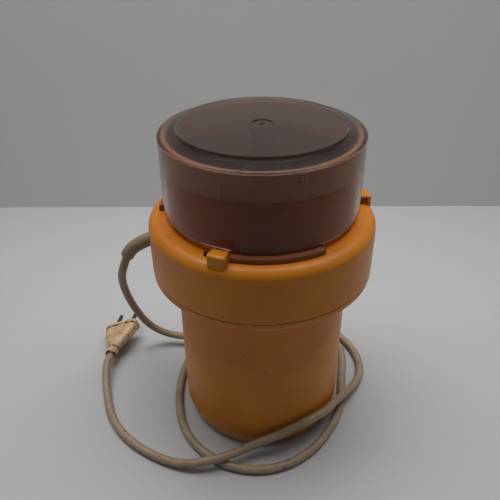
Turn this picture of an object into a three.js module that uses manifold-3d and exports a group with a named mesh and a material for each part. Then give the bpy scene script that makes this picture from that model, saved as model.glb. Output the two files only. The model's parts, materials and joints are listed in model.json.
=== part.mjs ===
// Electric kitchen chopper: a drum-shaped smoky lid over a bowl that is sunk in a wide collar,
// on a narrower motor body that stands on a table, with its mains lead laid round the foot.
// Millimetres, +Z up. The origin is the middle of the footprint, on the table.
import * as THREE from 'three';
import { mergeVertices } from 'three/addons/utils/BufferGeometryUtils.js';
import Module from 'manifold-3d';

const wasm = await Module();
wasm.setup();

// ---------------------------------------------------------------- driving dimensions
const TURN = Math.PI * 2;
const DEGREE = Math.PI / 180;
const SEAT = 0.3; // gap left where one piece rests on another
const WALL = 2.6; // moulded housing wall
const ROUND = 40; // sides of a large turned piece

const FOOT_HEIGHT = 2; // the shell's lower edge above the table
const BODY_RADIUS = 64;
const BODY_TOP = 135; // underside of the flange that carries the collar
const BODY_TUCK = 3; // how far the foot of the wall curves in
const BODY_TUCK_HEIGHT = 10;
const FLANGE_HEIGHT = 5;
const COLLAR_HEIGHT = 40.5; // from the parting line up to the deck
const COLLAR_FILLET = 9;
const DECK_WIDTH = 12; // deck outside the lid

const LID_RADIUS = 69;
const LID_WALL = 2.8;
const LID_HEIGHT = 53.7; // straight wall, from its lower edge to the shoulder
const LID_DISC_RADIUS = 57.2;
const LID_DISC_RAISE = 4.2;
const LID_LIFT_OVER_DECK = 5.5; // gap under the wall between the lugs
const LUG_REACH = 4; // lugs stand this far outside the lid's wall
const LUG_THICKNESS = 3.4;
const LUG_START = -106 * DEGREE;
const LUG_SPAN = 49 * DEGREE;
const HOOK_MIDDLE = -111 * DEGREE;
const HOOK_SPAN = 9 * DEGREE;
const HOOK_DEPTH = 5.7;
const HOOK_LIP = 2.6;
const LATCHES = 3; // hooks on the deck, and lugs on the lid

const BOWL_CLEARANCE = 1.2; // bowl inside the lid's wall
const BOWL_WALL = 2.2;
const BOWL_DEPTH = 69.2;
const WELL_CLEARANCE = 0.8;
const WELL_DEPTH = 31.5;
const LINER_WALL = 0.8;

const SHAFT_RADIUS = 4;
const SHAFT_BOTTOM = 24;
const BUSH_CLEARANCE = 0.1;
const BUSH_WALL = 4.9;
const BOSS_WALL = 3.6;
const BOSS_GAP = 0.5; // housing screw bosses inside the flange
const BOSS_HEIGHT = 19;
const CHIMNEY_RADIUS = 16.2;
const CHIMNEY_WALL = 2.2;
const CHIMNEY_HEIGHT = 44;
const HUB_CLEARANCE = 0.9;
const HUB_WALL = 2.6;
const HUB_CAP_RADIUS = 12.8;
const HUB_CAP_HEIGHT = 9;
const DRIVE_RADIUS = 6.9; // hexagon, across its corners
const BLADE_THICKNESS = 1.6;
const BLADE_TIP_GAP = 4;

const STEM_RADIUS = 7.4;
const STEM_GAP = 0.6; // stem above the hub
const DIMPLE_DEPTH = 0.7;
const RING_CLEARANCE = 0.6; // lid ring inside the lid's wall
const RING_WALL = 3.2;

const STATOR_WIDTH = 84;
const STATOR_BREADTH = 62;
const STATOR_HEIGHT = 40;
const STATOR_BOTTOM = 66;
const BORE_RADIUS = 22.5;
const AIR_GAP = 1;
const COIL_SECTION = 7;
const MOTOR_BOLT_X = 38;
const MOTOR_BOLT_RADIUS = 2;
const SPACER_RADIUS = 4.5;
const FAN_RADIUS = 31;

const CORD_RADIUS = 3.3;
const SLEEVE_RADIUS = 5.4;
const PIN_RISE = 2.4; // safety pin above the deck

// places that follow from them
const SEAM = BODY_TOP + FLANGE_HEIGHT;
const DECK = SEAM + COLLAR_HEIGHT;
const COLLAR_RADIUS = LID_RADIUS + DECK_WIDTH;
const LID_INNER = LID_RADIUS - LID_WALL;
const LID_EDGE = DECK + LID_LIFT_OVER_DECK;
const LID_SHOULDER = LID_EDGE + LID_HEIGHT;
const LID_TOP = LID_SHOULDER + LID_DISC_RAISE;
const LUG_RADIUS = LID_RADIUS + LUG_REACH;
const BOWL_RADIUS = LID_INNER - BOWL_CLEARANCE;
const WELL_RADIUS = BOWL_RADIUS + WELL_CLEARANCE;
const WELL_FLOOR = DECK - WELL_DEPTH;
const WELL_UNDERSIDE = WELL_FLOOR - WALL;
const BOWL_BOTTOM = WELL_FLOOR + SEAT;
const BOWL_FLOOR = BOWL_BOTTOM + WALL;
const BOWL_RIM = BOWL_BOTTOM + BOWL_DEPTH;
const LINER_RADIUS = BOWL_RADIUS - BOWL_WALL - SEAT;
const BUSH_RADIUS = SHAFT_RADIUS + BUSH_CLEARANCE + BUSH_WALL;
const BOSS_BORE = BUSH_RADIUS + SEAT;
const CHIMNEY_TOP = BOWL_FLOOR + CHIMNEY_HEIGHT;
const HUB_BORE = CHIMNEY_RADIUS + SEAT + LINER_WALL + HUB_CLEARANCE;
const HUB_RADIUS = HUB_BORE + HUB_WALL;
const HUB_BOTTOM = BOWL_FLOOR + 4;
const HUB_SHOULDER = CHIMNEY_TOP + 8;
const HUB_TOP = HUB_SHOULDER + HUB_CAP_HEIGHT;
const SHAFT_TOP = HUB_TOP - 6;
const STATOR_TOP = STATOR_BOTTOM + STATOR_HEIGHT;
const BRACKET_BOTTOM = SHAFT_BOTTOM + 4;
const BRACKET_THICKNESS = 4;
const MOTOR_BOSS_BOTTOM = WELL_UNDERSIDE - 16;
const LUG_BOTTOM = DECK + SEAT;
const LUG_TOP = LUG_BOTTOM + LUG_THICKNESS;
const HOOK_UNDERSIDE = LUG_TOP + 0.6;
const HOOK_TOP = HOOK_UNDERSIDE + HOOK_LIP;
const HOOK_INNER = LUG_RADIUS + 0.8;
const FLANGE_RADIUS = COLLAR_RADIUS - SEAT;

// ---------------------------------------------------------------- finishes
function finish(colour, roughness, metalness = 0) {
  return new THREE.MeshStandardMaterial({ color: colour, roughness, metalness });
}

const orangePlastic = finish(0xd98a2b, 0.35);
const smokyPlastic = finish(0x4a3a33, 0.08);
const stemPlastic = finish(0x3d3532, 0.2);
const blackPlastic = finish(0x1c1a19, 0.5);
const greyPlastic = finish(0x8a8680, 0.5);
const beigePlastic = finish(0xc9b79a, 0.55);
const creamPlastic = finish(0xcdbfa6, 0.5);
const cordPlastic = finish(0xb8a890, 0.6);
const blackRubber = finish(0x151515, 0.85);
const brightSteel = finish(0xc4c6c8, 0.25, 1);
const dullSteel = finish(0x8b8d90, 0.45, 1);
const copper = finish(0xb06a3a, 0.4, 1);
const bronze = finish(0x9a7440, 0.45, 1);
const brass = finish(0xc8a24a, 0.3, 1);
const carbon = finish(0x2a2a2c, 0.6);

// ---------------------------------------------------------------- solids
// A closed mesh with shared corners and no flat triangles, wound so that its volume is positive.
function toSolid(geometry) {
  const bare = geometry.clone();
  bare.deleteAttribute('normal');
  bare.deleteAttribute('uv');
  const merged = mergeVertices(bare, 1e-4);
  const place = merged.attributes.position.array;
  const index = merged.index.array;
  const corner = (i) => new THREE.Vector3().fromArray(place, i * 3);
  const kept = [];
  let volume = 0;
  for (let i = 0; i < index.length; i += 3) {
    const [a, b, c] = [index[i], index[i + 1], index[i + 2]];
    if (a === b || b === c || c === a) continue;
    kept.push(a, b, c);
    volume += corner(a).dot(corner(b).cross(corner(c)));
  }
  if (volume < 0) kept.reverse();
  return new wasm.Manifold(new wasm.Mesh({
    numProp: 3,
    vertProperties: new Float32Array(place),
    triVerts: new Uint32Array(kept),
  }));
}

function toGeometry(solid) {
  const mesh = solid.getMesh();
  const geometry = new THREE.BufferGeometry();
  geometry.setAttribute('position', new THREE.BufferAttribute(mesh.vertProperties, 3));
  geometry.setIndex(new THREE.BufferAttribute(mesh.triVerts, 1));
  geometry.computeVertexNormals();
  return geometry;
}

function combine(action, first, others) {
  return toGeometry(others.reduce((solid, other) => solid[action](toSolid(other)), toSolid(first)));
}

const join = (first, ...others) => combine('add', first, others);
const cut = (first, ...others) => combine('subtract', first, others);
const common = (first, ...others) => combine('intersect', first, others);

// A profile of [radius, height] corners, turned about Z.
function turned(profile, sides = ROUND) {
  const points = profile.map(([radius, height]) => new THREE.Vector2(radius, height));
  const [first, last] = [points[0], points.at(-1)];
  if (first.x > 0 || last.x > 0) points.push(first.clone());
  return new THREE.LatheGeometry(points, sides).rotateX(Math.PI / 2);
}

// A quarter round of an edge, from one corner angle to another, as [radius, height] corners.
function quarter(radius, height, across, up, from, to, steps = 4) {
  return Array.from({ length: steps + 1 }, (_, i) => {
    const angle = (from + ((to - from) * i) / steps) * DEGREE;
    return [radius + across * Math.cos(angle), height + up * Math.sin(angle)];
  });
}

function rod(radius, bottom, top, x = 0, y = 0, sides = 20) {
  return new THREE.CylinderGeometry(radius, radius, top - bottom, sides)
    .rotateX(Math.PI / 2)
    .translate(x, y, (top + bottom) / 2);
}

function pipe(outer, inner, bottom, top, x = 0, y = 0, sides = 24) {
  const profile = [[inner, bottom], [outer, bottom], [outer, top], [inner, top]];
  return turned(profile, sides).translate(x, y, 0);
}

function box(low, high) {
  const size = high.map((value, i) => value - low[i]);
  return new THREE.BoxGeometry(...size)
    .translate(...low.map((value, i) => value + size[i] / 2));
}

function prism(outline, bottom, top, curveSegments = 8) {
  return new THREE.ExtrudeGeometry(outline, { depth: top - bottom, bevelEnabled: false, curveSegments })
    .translate(0, 0, bottom);
}

// Part of a ring between two radii, from one angle over a span.
function sector(inner, outer, start, span, bottom, top) {
  const steps = Math.ceil(span / (9 * DEGREE));
  const outline = new THREE.Shape();
  outline.absarc(0, 0, outer, start, start + span, false);
  outline.absarc(0, 0, inner, start + span, start, true);
  outline.closePath();
  return prism(outline, bottom, top, steps);
}

function around(count, make) {
  return Array.from({ length: count }, (_, i) => make((i * TURN) / count));
}

const chopper = new THREE.Group();

function piece(name, geometry, material) {
  const mesh = new THREE.Mesh(geometry, material);
  mesh.name = name;
  chopper.add(mesh);
  return mesh;
}

// ---------------------------------------------------------------- mains cord route
// Out of the sleeve, down behind the body, once round the foot, and over itself to the plug.
const cordPoints = [
  [-104.9, 10.4, 133.3], [-109.1, 12.4, 123.5], [-112.6, 15.8, 113.5], [-115, 21, 103], [-116.3, 28, 89],
  [-116, 36, 72], [-113.5, 44, 53], [-109, 51, 35.5], [-101.5, 56, 21.5], [-90, 58, 13],
  [-75.5, 57, 10.6], [-58, 59, 10.4], [-42, 65, 10], [-26, 72, 7.5], [-8, 78.5, 4.6], [12, 82, 3.4],
  [32, 81, 3.4], [52, 75, 3.4], [67, 64.5, 3.4], [75, 50, 3.4], [75.5, 32, 3.4], [72.5, 12, 3.4],
  [70, -5, 3.4], [67.5, -20, 3.4], [61.5, -37, 3.4], [53, -51, 3.4], [44, -63, 3.4], [33, -73, 3.4],
  [20, -81, 3.4], [5, -85.5, 3.4], [-10, -86, 3.4], [-24, -83, 3.4], [-36, -77, 3.4],
  [-48, -68, 3.4], [-57.5, -57, 3.4], [-64.5, -44, 3.4], [-69, -29, 3.4], [-71.5, -13, 3.4],
  [-72, 4, 3.4], [-70.5, 20, 3.4], [-66.5, 36, 3.4], [-59, 52, 3.4], [-47, 68, 3.4],
  [-31, 82, 3.4], [-12, 91, 3.4], [10, 95, 3.4], [32, 93.5, 3.4], [53, 86, 3.4], [70, 73.5, 3.4],
  [81.5, 58.5, 3.4], [88.5, 42, 3.4], [90.5, 25, 3.5], [87, 9, 4.4], [79.5, -5, 7.6],
  [70.5, -18.5, 12.6], [60.6, -32.2, 18.6], [49.8, -47.3, 23.6], [38.9, -56.7, 25.6],
  [27.6, -62.9, 24.6], [15.3, -67.1, 21], [3.5, -69.4, 16.4], [-7, -71.5, 12.8],
  [-17.5, -75.5, 10.9], [-29, -80.3, 10.5], [-41, -83.3, 9.6], [-53, -84.2, 7.6],
  [-66, -81.6, 5.2], [-79, -76.4, 3.7], [-92, -69.4, 3.4], [-104.5, -60.5, 3.4],
  [-116, -49, 3.4], [-126, -34, 3.4], [-133.2, -16, 4], [-137.6, -1, 7], [-139.6, 9, 10.6],
  [-140.2, 18, 12.9], [-139.4, 27, 13.1],
];
const sleevePoints = [[-76.5, 6.8, 154.1], [-80.9, 7, 152.5], [-90, 7.6, 148.4], [-98, 8.7, 142.9],
  [-103.2, 9.8, 136.6], [-104.4, 10.2, 134.4]];

function tube(points, radius, sides, steps) {
  const route = new THREE.CatmullRomCurve3(points.map((p) => new THREE.Vector3(...p)), false, 'centripetal');
  const section = new THREE.Shape(around(sides, (angle) => new THREE.Vector2(
    radius * Math.cos(angle), radius * Math.sin(angle))));
  return new THREE.ExtrudeGeometry(section, { steps, extrudePath: route, bevelEnabled: false });
}

// ---------------------------------------------------------------- housings
const SCREW_RING = (WELL_RADIUS + WALL + COLLAR_RADIUS - WALL) / 2;
const SCREW_BOSS = FLANGE_RADIUS - WALL - BOSS_GAP - SCREW_RING;
const HOUSING_SCREWS = [-50, 70, 190].map((angle) => angle * DEGREE);
const BASE_SCREW_RING = BODY_RADIUS - 13;
const BASE_SCREWS = 4;
const PIN_ANGLE = -119.5 * DEGREE;
const PIN_RING = LUG_RADIUS - 1.9;
const PIN_RADIUS = 1.5;

const ringPlace = (radius, angle) => [radius * Math.cos(angle), radius * Math.sin(angle)];

function lowerHousing() {
  const shell = turned([
    [BODY_RADIUS - BODY_TUCK - WALL, FOOT_HEIGHT],
    ...quarter(BODY_RADIUS - BODY_TUCK, FOOT_HEIGHT + BODY_TUCK_HEIGHT, BODY_TUCK, BODY_TUCK_HEIGHT, -90, 0),
    [BODY_RADIUS, BODY_TOP - 2],
    [BODY_RADIUS + 1.2, BODY_TOP],
    ...quarter(FLANGE_RADIUS - 1.8, BODY_TOP + 1.8, 1.8, 1.8, -90, 0, 2),
    [FLANGE_RADIUS, SEAM - SEAT],
    [FLANGE_RADIUS - WALL, SEAM - SEAT],
    [FLANGE_RADIUS - WALL, BODY_TOP + WALL],
    [BODY_RADIUS - WALL, BODY_TOP + WALL],
    [BODY_RADIUS - WALL, FOOT_HEIGHT + BODY_TUCK_HEIGHT],
  ]);
  const bosses = around(BASE_SCREWS, (angle) => {
    const [x, y] = ringPlace(BASE_SCREW_RING, angle);
    const web = box([BASE_SCREW_RING + 2, -1.5, FOOT_HEIGHT + 6],
      [BODY_RADIUS - 1, 1.5, FOOT_HEIGHT + 26]);
    return join(rod(4.5, FOOT_HEIGHT + 5, FOOT_HEIGHT + 26, x, y, 14), web.rotateZ(angle));
  });
  const drillings = around(BASE_SCREWS, (angle) => rod(1.8, 0, 24, ...ringPlace(BASE_SCREW_RING, angle), 12));
  const screwHoles = HOUSING_SCREWS.map((angle) => (
    rod(2.3, BODY_TOP - 1, SEAM, ...ringPlace(SCREW_RING, angle), 12)));
  return cut(join(shell, ...bosses), ...drillings, ...screwHoles);
}

function hook(turn) {
  const start = HOOK_MIDDLE - HOOK_SPAN / 2;
  const outer = HOOK_INNER + HOOK_DEPTH;
  const post = sector(HOOK_INNER, outer, start, HOOK_SPAN, DECK - 5, HOOK_TOP);
  const lip = sector(LID_RADIUS + 1.8, HOOK_INNER + 1, start, HOOK_SPAN, HOOK_UNDERSIDE, HOOK_TOP);
  return join(post, lip).rotateZ(turn);
}

function upperHousing() {
  const shell = turned([
    [COLLAR_RADIUS, SEAM],
    ...quarter(COLLAR_RADIUS - COLLAR_FILLET, DECK - COLLAR_FILLET, COLLAR_FILLET, COLLAR_FILLET, 0, 90, 5),
    [WELL_RADIUS + 1, DECK],
    [WELL_RADIUS, DECK - 1],
    [WELL_RADIUS, WELL_FLOOR],
    [BOSS_BORE + BOSS_WALL, WELL_FLOOR],
    [BOSS_BORE + BOSS_WALL, WELL_FLOOR + BOSS_HEIGHT],
    [BOSS_BORE, WELL_FLOOR + BOSS_HEIGHT],
    [BOSS_BORE, WELL_UNDERSIDE],
    [WELL_RADIUS + WALL, WELL_UNDERSIDE],
    [WELL_RADIUS + WALL, DECK - WALL],
    ...quarter(COLLAR_RADIUS - COLLAR_FILLET, DECK - COLLAR_FILLET,
      COLLAR_FILLET - WALL, COLLAR_FILLET - WALL, 90, 0, 2),
    [COLLAR_RADIUS - WALL, SEAM],
  ]);
  const hooks = around(LATCHES, hook);
  const screwBosses = HOUSING_SCREWS.map((angle) => (
    rod(SCREW_BOSS, BODY_TOP + WALL + SEAT, DECK - 1, ...ringPlace(SCREW_RING, angle), 14)));
  const motorBosses = [-1, 1].map((side) => (
    rod(5.5, MOTOR_BOSS_BOTTOM, WELL_FLOOR - 1, side * MOTOR_BOLT_X, 0, 16)));
  const motorDrillings = [-1, 1].map((side) => (
    rod(MOTOR_BOLT_RADIUS + SEAT, MOTOR_BOSS_BOTTOM - 1, WELL_UNDERSIDE - 1, side * MOTOR_BOLT_X, 0, 12)));
  const screwDrillings = HOUSING_SCREWS.map((angle) => (
    rod(1.8, BODY_TOP, DECK - 14, ...ringPlace(SCREW_RING, angle), 12)));
  const pinHole = rod(PIN_RADIUS + SEAT, DECK - 6, DECK + 2, ...ringPlace(PIN_RING, PIN_ANGLE), 16);
  const entry = tube(sleevePoints, SLEEVE_RADIUS + SEAT + 0.2, 12, 8);
  return cut(join(shell, ...hooks, ...screwBosses, ...motorBosses),
    ...motorDrillings, ...screwDrillings, pinHole, entry);
}

function basePlate() {
  const radius = BODY_RADIUS - BODY_TUCK - WALL - SEAT;
  const plate = rod(radius, FOOT_HEIGHT + 0.6, FOOT_HEIGHT + 3.2, 0, 0, ROUND);
  const vents = around(8, (angle) => box([18, -2, 0], [40, 2, 10]).rotateZ(angle + TURN / 16));
  const holes = around(BASE_SCREWS, (angle) => rod(2.2, 0, 10, ...ringPlace(BASE_SCREW_RING, angle), 12));
  return cut(plate, ...vents, ...holes);
}

function screw(shank, head, headBottom, headTop, shankTop, x, y) {
  return join(rod(head, headBottom, headTop, x, y, 14), rod(shank, headTop - 0.2, shankTop, x, y, 10));
}

piece('lower_housing', lowerHousing(), orangePlastic);
piece('upper_housing', upperHousing(), orangePlastic);
piece('base_plate', basePlate(), blackPlastic);

around(4, (angle) => angle + TURN / 8).forEach((angle, i) => {
  const [x, y] = ringPlace(BASE_SCREW_RING - 3, angle);
  const foot = turned([[0, 0], [5.6, 0], [6.5, 1], [6.5, FOOT_HEIGHT + 0.3], [0, FOOT_HEIGHT + 0.3]], 16);
  piece(`rubber_foot_${i + 1}`, foot.translate(x, y, 0), blackRubber);
});

around(BASE_SCREWS, (angle) => angle).forEach((angle, i) => {
  const [x, y] = ringPlace(BASE_SCREW_RING, angle);
  piece(`base_screw_${i + 1}`,
    screw(1.5, 3.4, FOOT_HEIGHT - 1.4, FOOT_HEIGHT + 0.3, FOOT_HEIGHT + 18, x, y), dullSteel);
});

HOUSING_SCREWS.forEach((angle, i) => {
  const [x, y] = ringPlace(SCREW_RING, angle);
  piece(`housing_screw_${i + 1}`,
    screw(1.5, 3.6, BODY_TOP - 2.2, BODY_TOP - SEAT, SEAM + 20, x, y), dullSteel);
});

// ---------------------------------------------------------------- lid
function lid() {
  const slope = 4.4;
  const shell = turned([
    [STEM_RADIUS, LID_TOP],
    [LID_DISC_RADIUS, LID_TOP],
    [LID_DISC_RADIUS + slope, LID_SHOULDER + 0.5],
    ...quarter(LID_RADIUS - 2.4, LID_SHOULDER - 2.4, 2.4, 2.4, 90, 0, 3),
    [LID_RADIUS, LID_EDGE],
    [LID_INNER, LID_EDGE],
    [LID_INNER, LID_SHOULDER - 4.6],
    [LID_INNER - 1.8, LID_SHOULDER - LID_WALL],
    [LID_DISC_RADIUS + slope - 1, LID_SHOULDER - LID_WALL + 0.4],
    [LID_DISC_RADIUS - 1, LID_TOP - LID_WALL],
    [STEM_RADIUS, LID_TOP - LID_WALL],
  ]);
  const lugs = around(LATCHES, (turn) => {
    const tab = sector(LID_INNER, LUG_RADIUS, LUG_START, LUG_SPAN, LUG_BOTTOM, LUG_TOP);
    const root = sector(LID_INNER, LID_RADIUS + 1.2, LUG_START, LUG_SPAN, LUG_BOTTOM, LID_EDGE + 1);
    return join(tab, root).rotateZ(turn);
  });
  return join(shell, ...lugs);
}

function lidStem() {
  const collar = LID_TOP - LID_WALL - SEAT;
  return turned([
    [0, HUB_TOP + STEM_GAP],
    [STEM_RADIUS - 1, HUB_TOP + STEM_GAP],
    [STEM_RADIUS, HUB_TOP + STEM_GAP + 1],
    [STEM_RADIUS, collar - 2],
    [STEM_RADIUS + 2, collar - 2],
    [STEM_RADIUS + 2, collar],
    [STEM_RADIUS - SEAT, collar],
    [STEM_RADIUS - SEAT, LID_TOP - DIMPLE_DEPTH + 0.4],
    [STEM_RADIUS - 1.2, LID_TOP - DIMPLE_DEPTH],
    [0, LID_TOP - DIMPLE_DEPTH],
  ], 28);
}

function lidRing() {
  const outer = LID_INNER - RING_CLEARANCE;
  const inner = outer - RING_WALL;
  const bottom = BOWL_RIM + SEAT;
  const top = LID_SHOULDER - LID_WALL - SEAT;
  return turned([
    [inner, bottom], [outer, bottom], [outer, top - 1.8], [outer - 1.8, top], [inner, top],
  ]);
}

piece('lid', lid(), smokyPlastic);
piece('lid_stem', lidStem(), stemPlastic);
piece('lid_ring', lidRing(), creamPlastic);

// ---------------------------------------------------------------- bowl
function bowl() {
  return turned([
    [CHIMNEY_RADIUS - CHIMNEY_WALL, BOWL_BOTTOM],
    [BOWL_RADIUS - 3, BOWL_BOTTOM],
    [BOWL_RADIUS, BOWL_BOTTOM + 3],
    [BOWL_RADIUS, BOWL_RIM - 0.7],
    [BOWL_RADIUS - 0.7, BOWL_RIM],
    [BOWL_RADIUS - BOWL_WALL + 0.7, BOWL_RIM],
    [BOWL_RADIUS - BOWL_WALL, BOWL_RIM - 0.7],
    [BOWL_RADIUS - BOWL_WALL, BOWL_FLOOR + 3],
    [BOWL_RADIUS - BOWL_WALL - 3, BOWL_FLOOR],
    [CHIMNEY_RADIUS, BOWL_FLOOR],
    [CHIMNEY_RADIUS, CHIMNEY_TOP],
    [CHIMNEY_RADIUS - CHIMNEY_WALL, CHIMNEY_TOP],
  ]);
}

function bowlLiner() {
  const floor = BOWL_FLOOR + SEAT;
  const tubeRadius = CHIMNEY_RADIUS + SEAT;
  return turned([
    [tubeRadius, floor],
    [LINER_RADIUS - 3.2, floor],
    [LINER_RADIUS, floor + 3.2],
    [LINER_RADIUS, BOWL_RIM - 1.5],
    [LINER_RADIUS - LINER_WALL, BOWL_RIM - 1.5],
    [LINER_RADIUS - LINER_WALL, floor + 3.2],
    [LINER_RADIUS - 3.2, floor + LINER_WALL],
    [tubeRadius + LINER_WALL, floor + LINER_WALL],
    [tubeRadius + LINER_WALL, CHIMNEY_TOP - 1],
    [tubeRadius, CHIMNEY_TOP - 1],
  ]);
}

piece('bowl', bowl(), orangePlastic);
piece('bowl_liner', bowlLiner(), brightSteel);

// ---------------------------------------------------------------- blades and drive
function bladeHub() {
  const sleeve = turned([
    [HUB_BORE, HUB_BOTTOM],
    [HUB_RADIUS, HUB_BOTTOM],
    [HUB_RADIUS, HUB_SHOULDER - 1],
    [HUB_RADIUS - 1, HUB_SHOULDER],
    [HUB_CAP_RADIUS, HUB_SHOULDER],
    [HUB_CAP_RADIUS, HUB_TOP - 1],
    [HUB_CAP_RADIUS - 1, HUB_TOP],
    [0, HUB_TOP],
    [0, CHIMNEY_TOP + 1.5],
    [HUB_BORE, CHIMNEY_TOP + 1.5],
  ], 32);
  return cut(sleeve, rod(DRIVE_RADIUS + SEAT, CHIMNEY_TOP, SHAFT_TOP + 1, 0, 0, 6));
}

// A ring on the hub with two swept wings: each wing narrows to its tip as it sweeps back.
function blade(bottom, turn) {
  const ringInner = HUB_RADIUS + SEAT;
  const root = ringInner + 1.5;
  const tip = LINER_RADIUS - LINER_WALL - BLADE_TIP_GAP;
  const steps = 8;
  const edge = (side) => Array.from({ length: steps + 1 }, (_, i) => {
    const share = i / steps;
    const radius = root + (tip - root) * share;
    const width = 8 - 6 * share;
    const angle = 0.75 * share * share + (side * width) / radius;
    return new THREE.Vector2(radius * Math.cos(angle), radius * Math.sin(angle));
  });
  const outline = new THREE.Shape([...edge(-1), ...edge(1).reverse()]);
  const wings = [0, Math.PI].map((angle) => (
    prism(outline, bottom, bottom + BLADE_THICKNESS).rotateZ(angle + turn)));
  return join(pipe(ringInner + 4, ringInner, bottom, bottom + BLADE_THICKNESS, 0, 0, 32), ...wings);
}

function fan() {
  const bottom = STATOR_TOP + 12;
  const bore = SHAFT_RADIUS + SEAT;
  const disc = pipe(FAN_RADIUS, bore, bottom, bottom + 1.6, 0, 0, 32);
  const hub = pipe(9, bore, bottom, bottom + 9, 0, 0, 20);
  const vanes = around(10, (angle) => (
    box([8, -0.8, bottom + 1], [FAN_RADIUS - 1, 0.8, bottom + 8]).rotateZ(angle)));
  return join(disc, hub, ...vanes);
}

function armatureCore() {
  const teeth = 12;
  const outer = BORE_RADIUS - AIR_GAP;
  const outline = new THREE.Shape();
  for (let i = 0; i < teeth; i += 1) {
    const middle = (i * TURN) / teeth;
    [[outer, -0.2], [outer, 0.2], [outer - 1.5, 0.2], [outer - 7, 0.1], [outer - 7, 0.4236],
      [outer - 1.5, 0.3236]].forEach(([radius, offset], j) => {
      const [x, y] = ringPlace(radius, middle + offset);
      if (i + j === 0) outline.moveTo(x, y);
      else outline.lineTo(x, y);
    });
  }
  outline.closePath();
  const core = prism(outline, STATOR_BOTTOM, STATOR_TOP);
  return cut(core, rod(SHAFT_RADIUS + SEAT, STATOR_BOTTOM - 1, STATOR_TOP + 1));
}

function armatureWinding(bottom, top) {
  const outer = BORE_RADIUS - 3.5;
  return turned([
    [SHAFT_RADIUS + SEAT, bottom], [outer - 2, bottom], [outer, bottom + 2],
    [outer, top - 2], [outer - 2, top], [SHAFT_RADIUS + SEAT, top],
  ], 28);
}

piece('blade_hub', bladeHub(), blackPlastic);
piece('lower_blade', blade(HUB_BOTTOM + 2, 0.4), brightSteel);
piece('upper_blade', blade(HUB_BOTTOM + 20, 0.4 + Math.PI / 2), brightSteel);
const hexagon = rod(DRIVE_RADIUS, CHIMNEY_TOP + 2, SHAFT_TOP, 0, 0, 6);
piece('drive_dog', cut(hexagon, rod(SHAFT_RADIUS + SEAT, CHIMNEY_TOP, SHAFT_TOP + 1)), dullSteel);
piece('motor_shaft', rod(SHAFT_RADIUS, SHAFT_BOTTOM, SHAFT_TOP - 0.5, 0, 0, 24), brightSteel);
piece('shaft_seal',
  pipe(BUSH_RADIUS, SHAFT_RADIUS + 0.2, WELL_FLOOR + BOSS_HEIGHT - 3.5, WELL_FLOOR + BOSS_HEIGHT - 0.5),
  blackRubber);
piece('upper_bush',
  pipe(BUSH_RADIUS, SHAFT_RADIUS + BUSH_CLEARANCE, WELL_FLOOR + 2, WELL_FLOOR + BOSS_HEIGHT - 4, 0, 0, 32),
  bronze);
piece('lower_bush',
  pipe(BUSH_RADIUS - 1, SHAFT_RADIUS + BUSH_CLEARANCE, BRACKET_BOTTOM - 1, BRACKET_BOTTOM + 8, 0, 0, 32),
  bronze);
piece('cooling_fan', fan(), greyPlastic);
piece('armature_core', armatureCore(), dullSteel);
piece('armature_winding_upper', armatureWinding(STATOR_TOP + SEAT, STATOR_TOP + 10), copper);
piece('armature_winding_lower', armatureWinding(STATOR_BOTTOM - 10, STATOR_BOTTOM - SEAT), copper);
const commutatorTop = STATOR_BOTTOM - 10 - SEAT;
piece('commutator', pipe(12, SHAFT_RADIUS + SEAT, commutatorTop - 17, commutatorTop), copper);

// ---------------------------------------------------------------- motor frame
function statorCore() {
  const [halfWidth, halfBreadth, corner] = [STATOR_WIDTH / 2, STATOR_BREADTH / 2, 14];
  const outline = new THREE.Shape();
  outline.moveTo(-halfWidth + corner, -halfBreadth);
  outline.lineTo(halfWidth - corner, -halfBreadth);
  outline.lineTo(halfWidth, -halfBreadth + corner);
  outline.lineTo(halfWidth, halfBreadth - corner);
  outline.lineTo(halfWidth - corner, halfBreadth);
  outline.lineTo(-halfWidth + corner, halfBreadth);
  outline.lineTo(-halfWidth, halfBreadth - corner);
  outline.lineTo(-halfWidth, -halfBreadth + corner);
  outline.closePath();
  const slotLow = BORE_RADIUS + 2.5;
  const slotHigh = slotLow + COIL_SECTION + 2 * SEAT;
  const slots = [[1, 1], [1, -1], [-1, 1], [-1, -1]].map(([sx, sy]) => {
    const [x0, x1] = [slotLow * sx, slotHigh * sx].sort((a, b) => a - b);
    const [y0, y1] = [17 * sy, (17 + COIL_SECTION + 2 * SEAT) * sy].sort((a, b) => a - b);
    return box([x0, y0, STATOR_BOTTOM - 1], [x1, y1, STATOR_TOP + 1]);
  });
  const bolts = [-1, 1].map((side) => (
    rod(MOTOR_BOLT_RADIUS + SEAT, STATOR_BOTTOM - 1, STATOR_TOP + 1, side * MOTOR_BOLT_X, 0, 12)));
  const bore = rod(BORE_RADIUS, STATOR_BOTTOM - 1, STATOR_TOP + 1, 0, 0, 40);
  return cut(prism(outline, STATOR_BOTTOM, STATOR_TOP), bore, ...slots, ...bolts);
}

function fieldCoil(side) {
  const inner = BORE_RADIUS + 2.5 + SEAT;
  const half = 17 + SEAT;
  const [low, high] = [STATOR_BOTTOM - SEAT, STATOR_TOP + SEAT];
  const loop = cut(
    box([inner, -half - COIL_SECTION, low - COIL_SECTION],
      [inner + COIL_SECTION, half + COIL_SECTION, high + COIL_SECTION]),
    box([inner - 1, -half, low], [inner + COIL_SECTION + 1, half, high]),
  );
  return side > 0 ? loop : loop.rotateZ(Math.PI);
}

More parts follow.
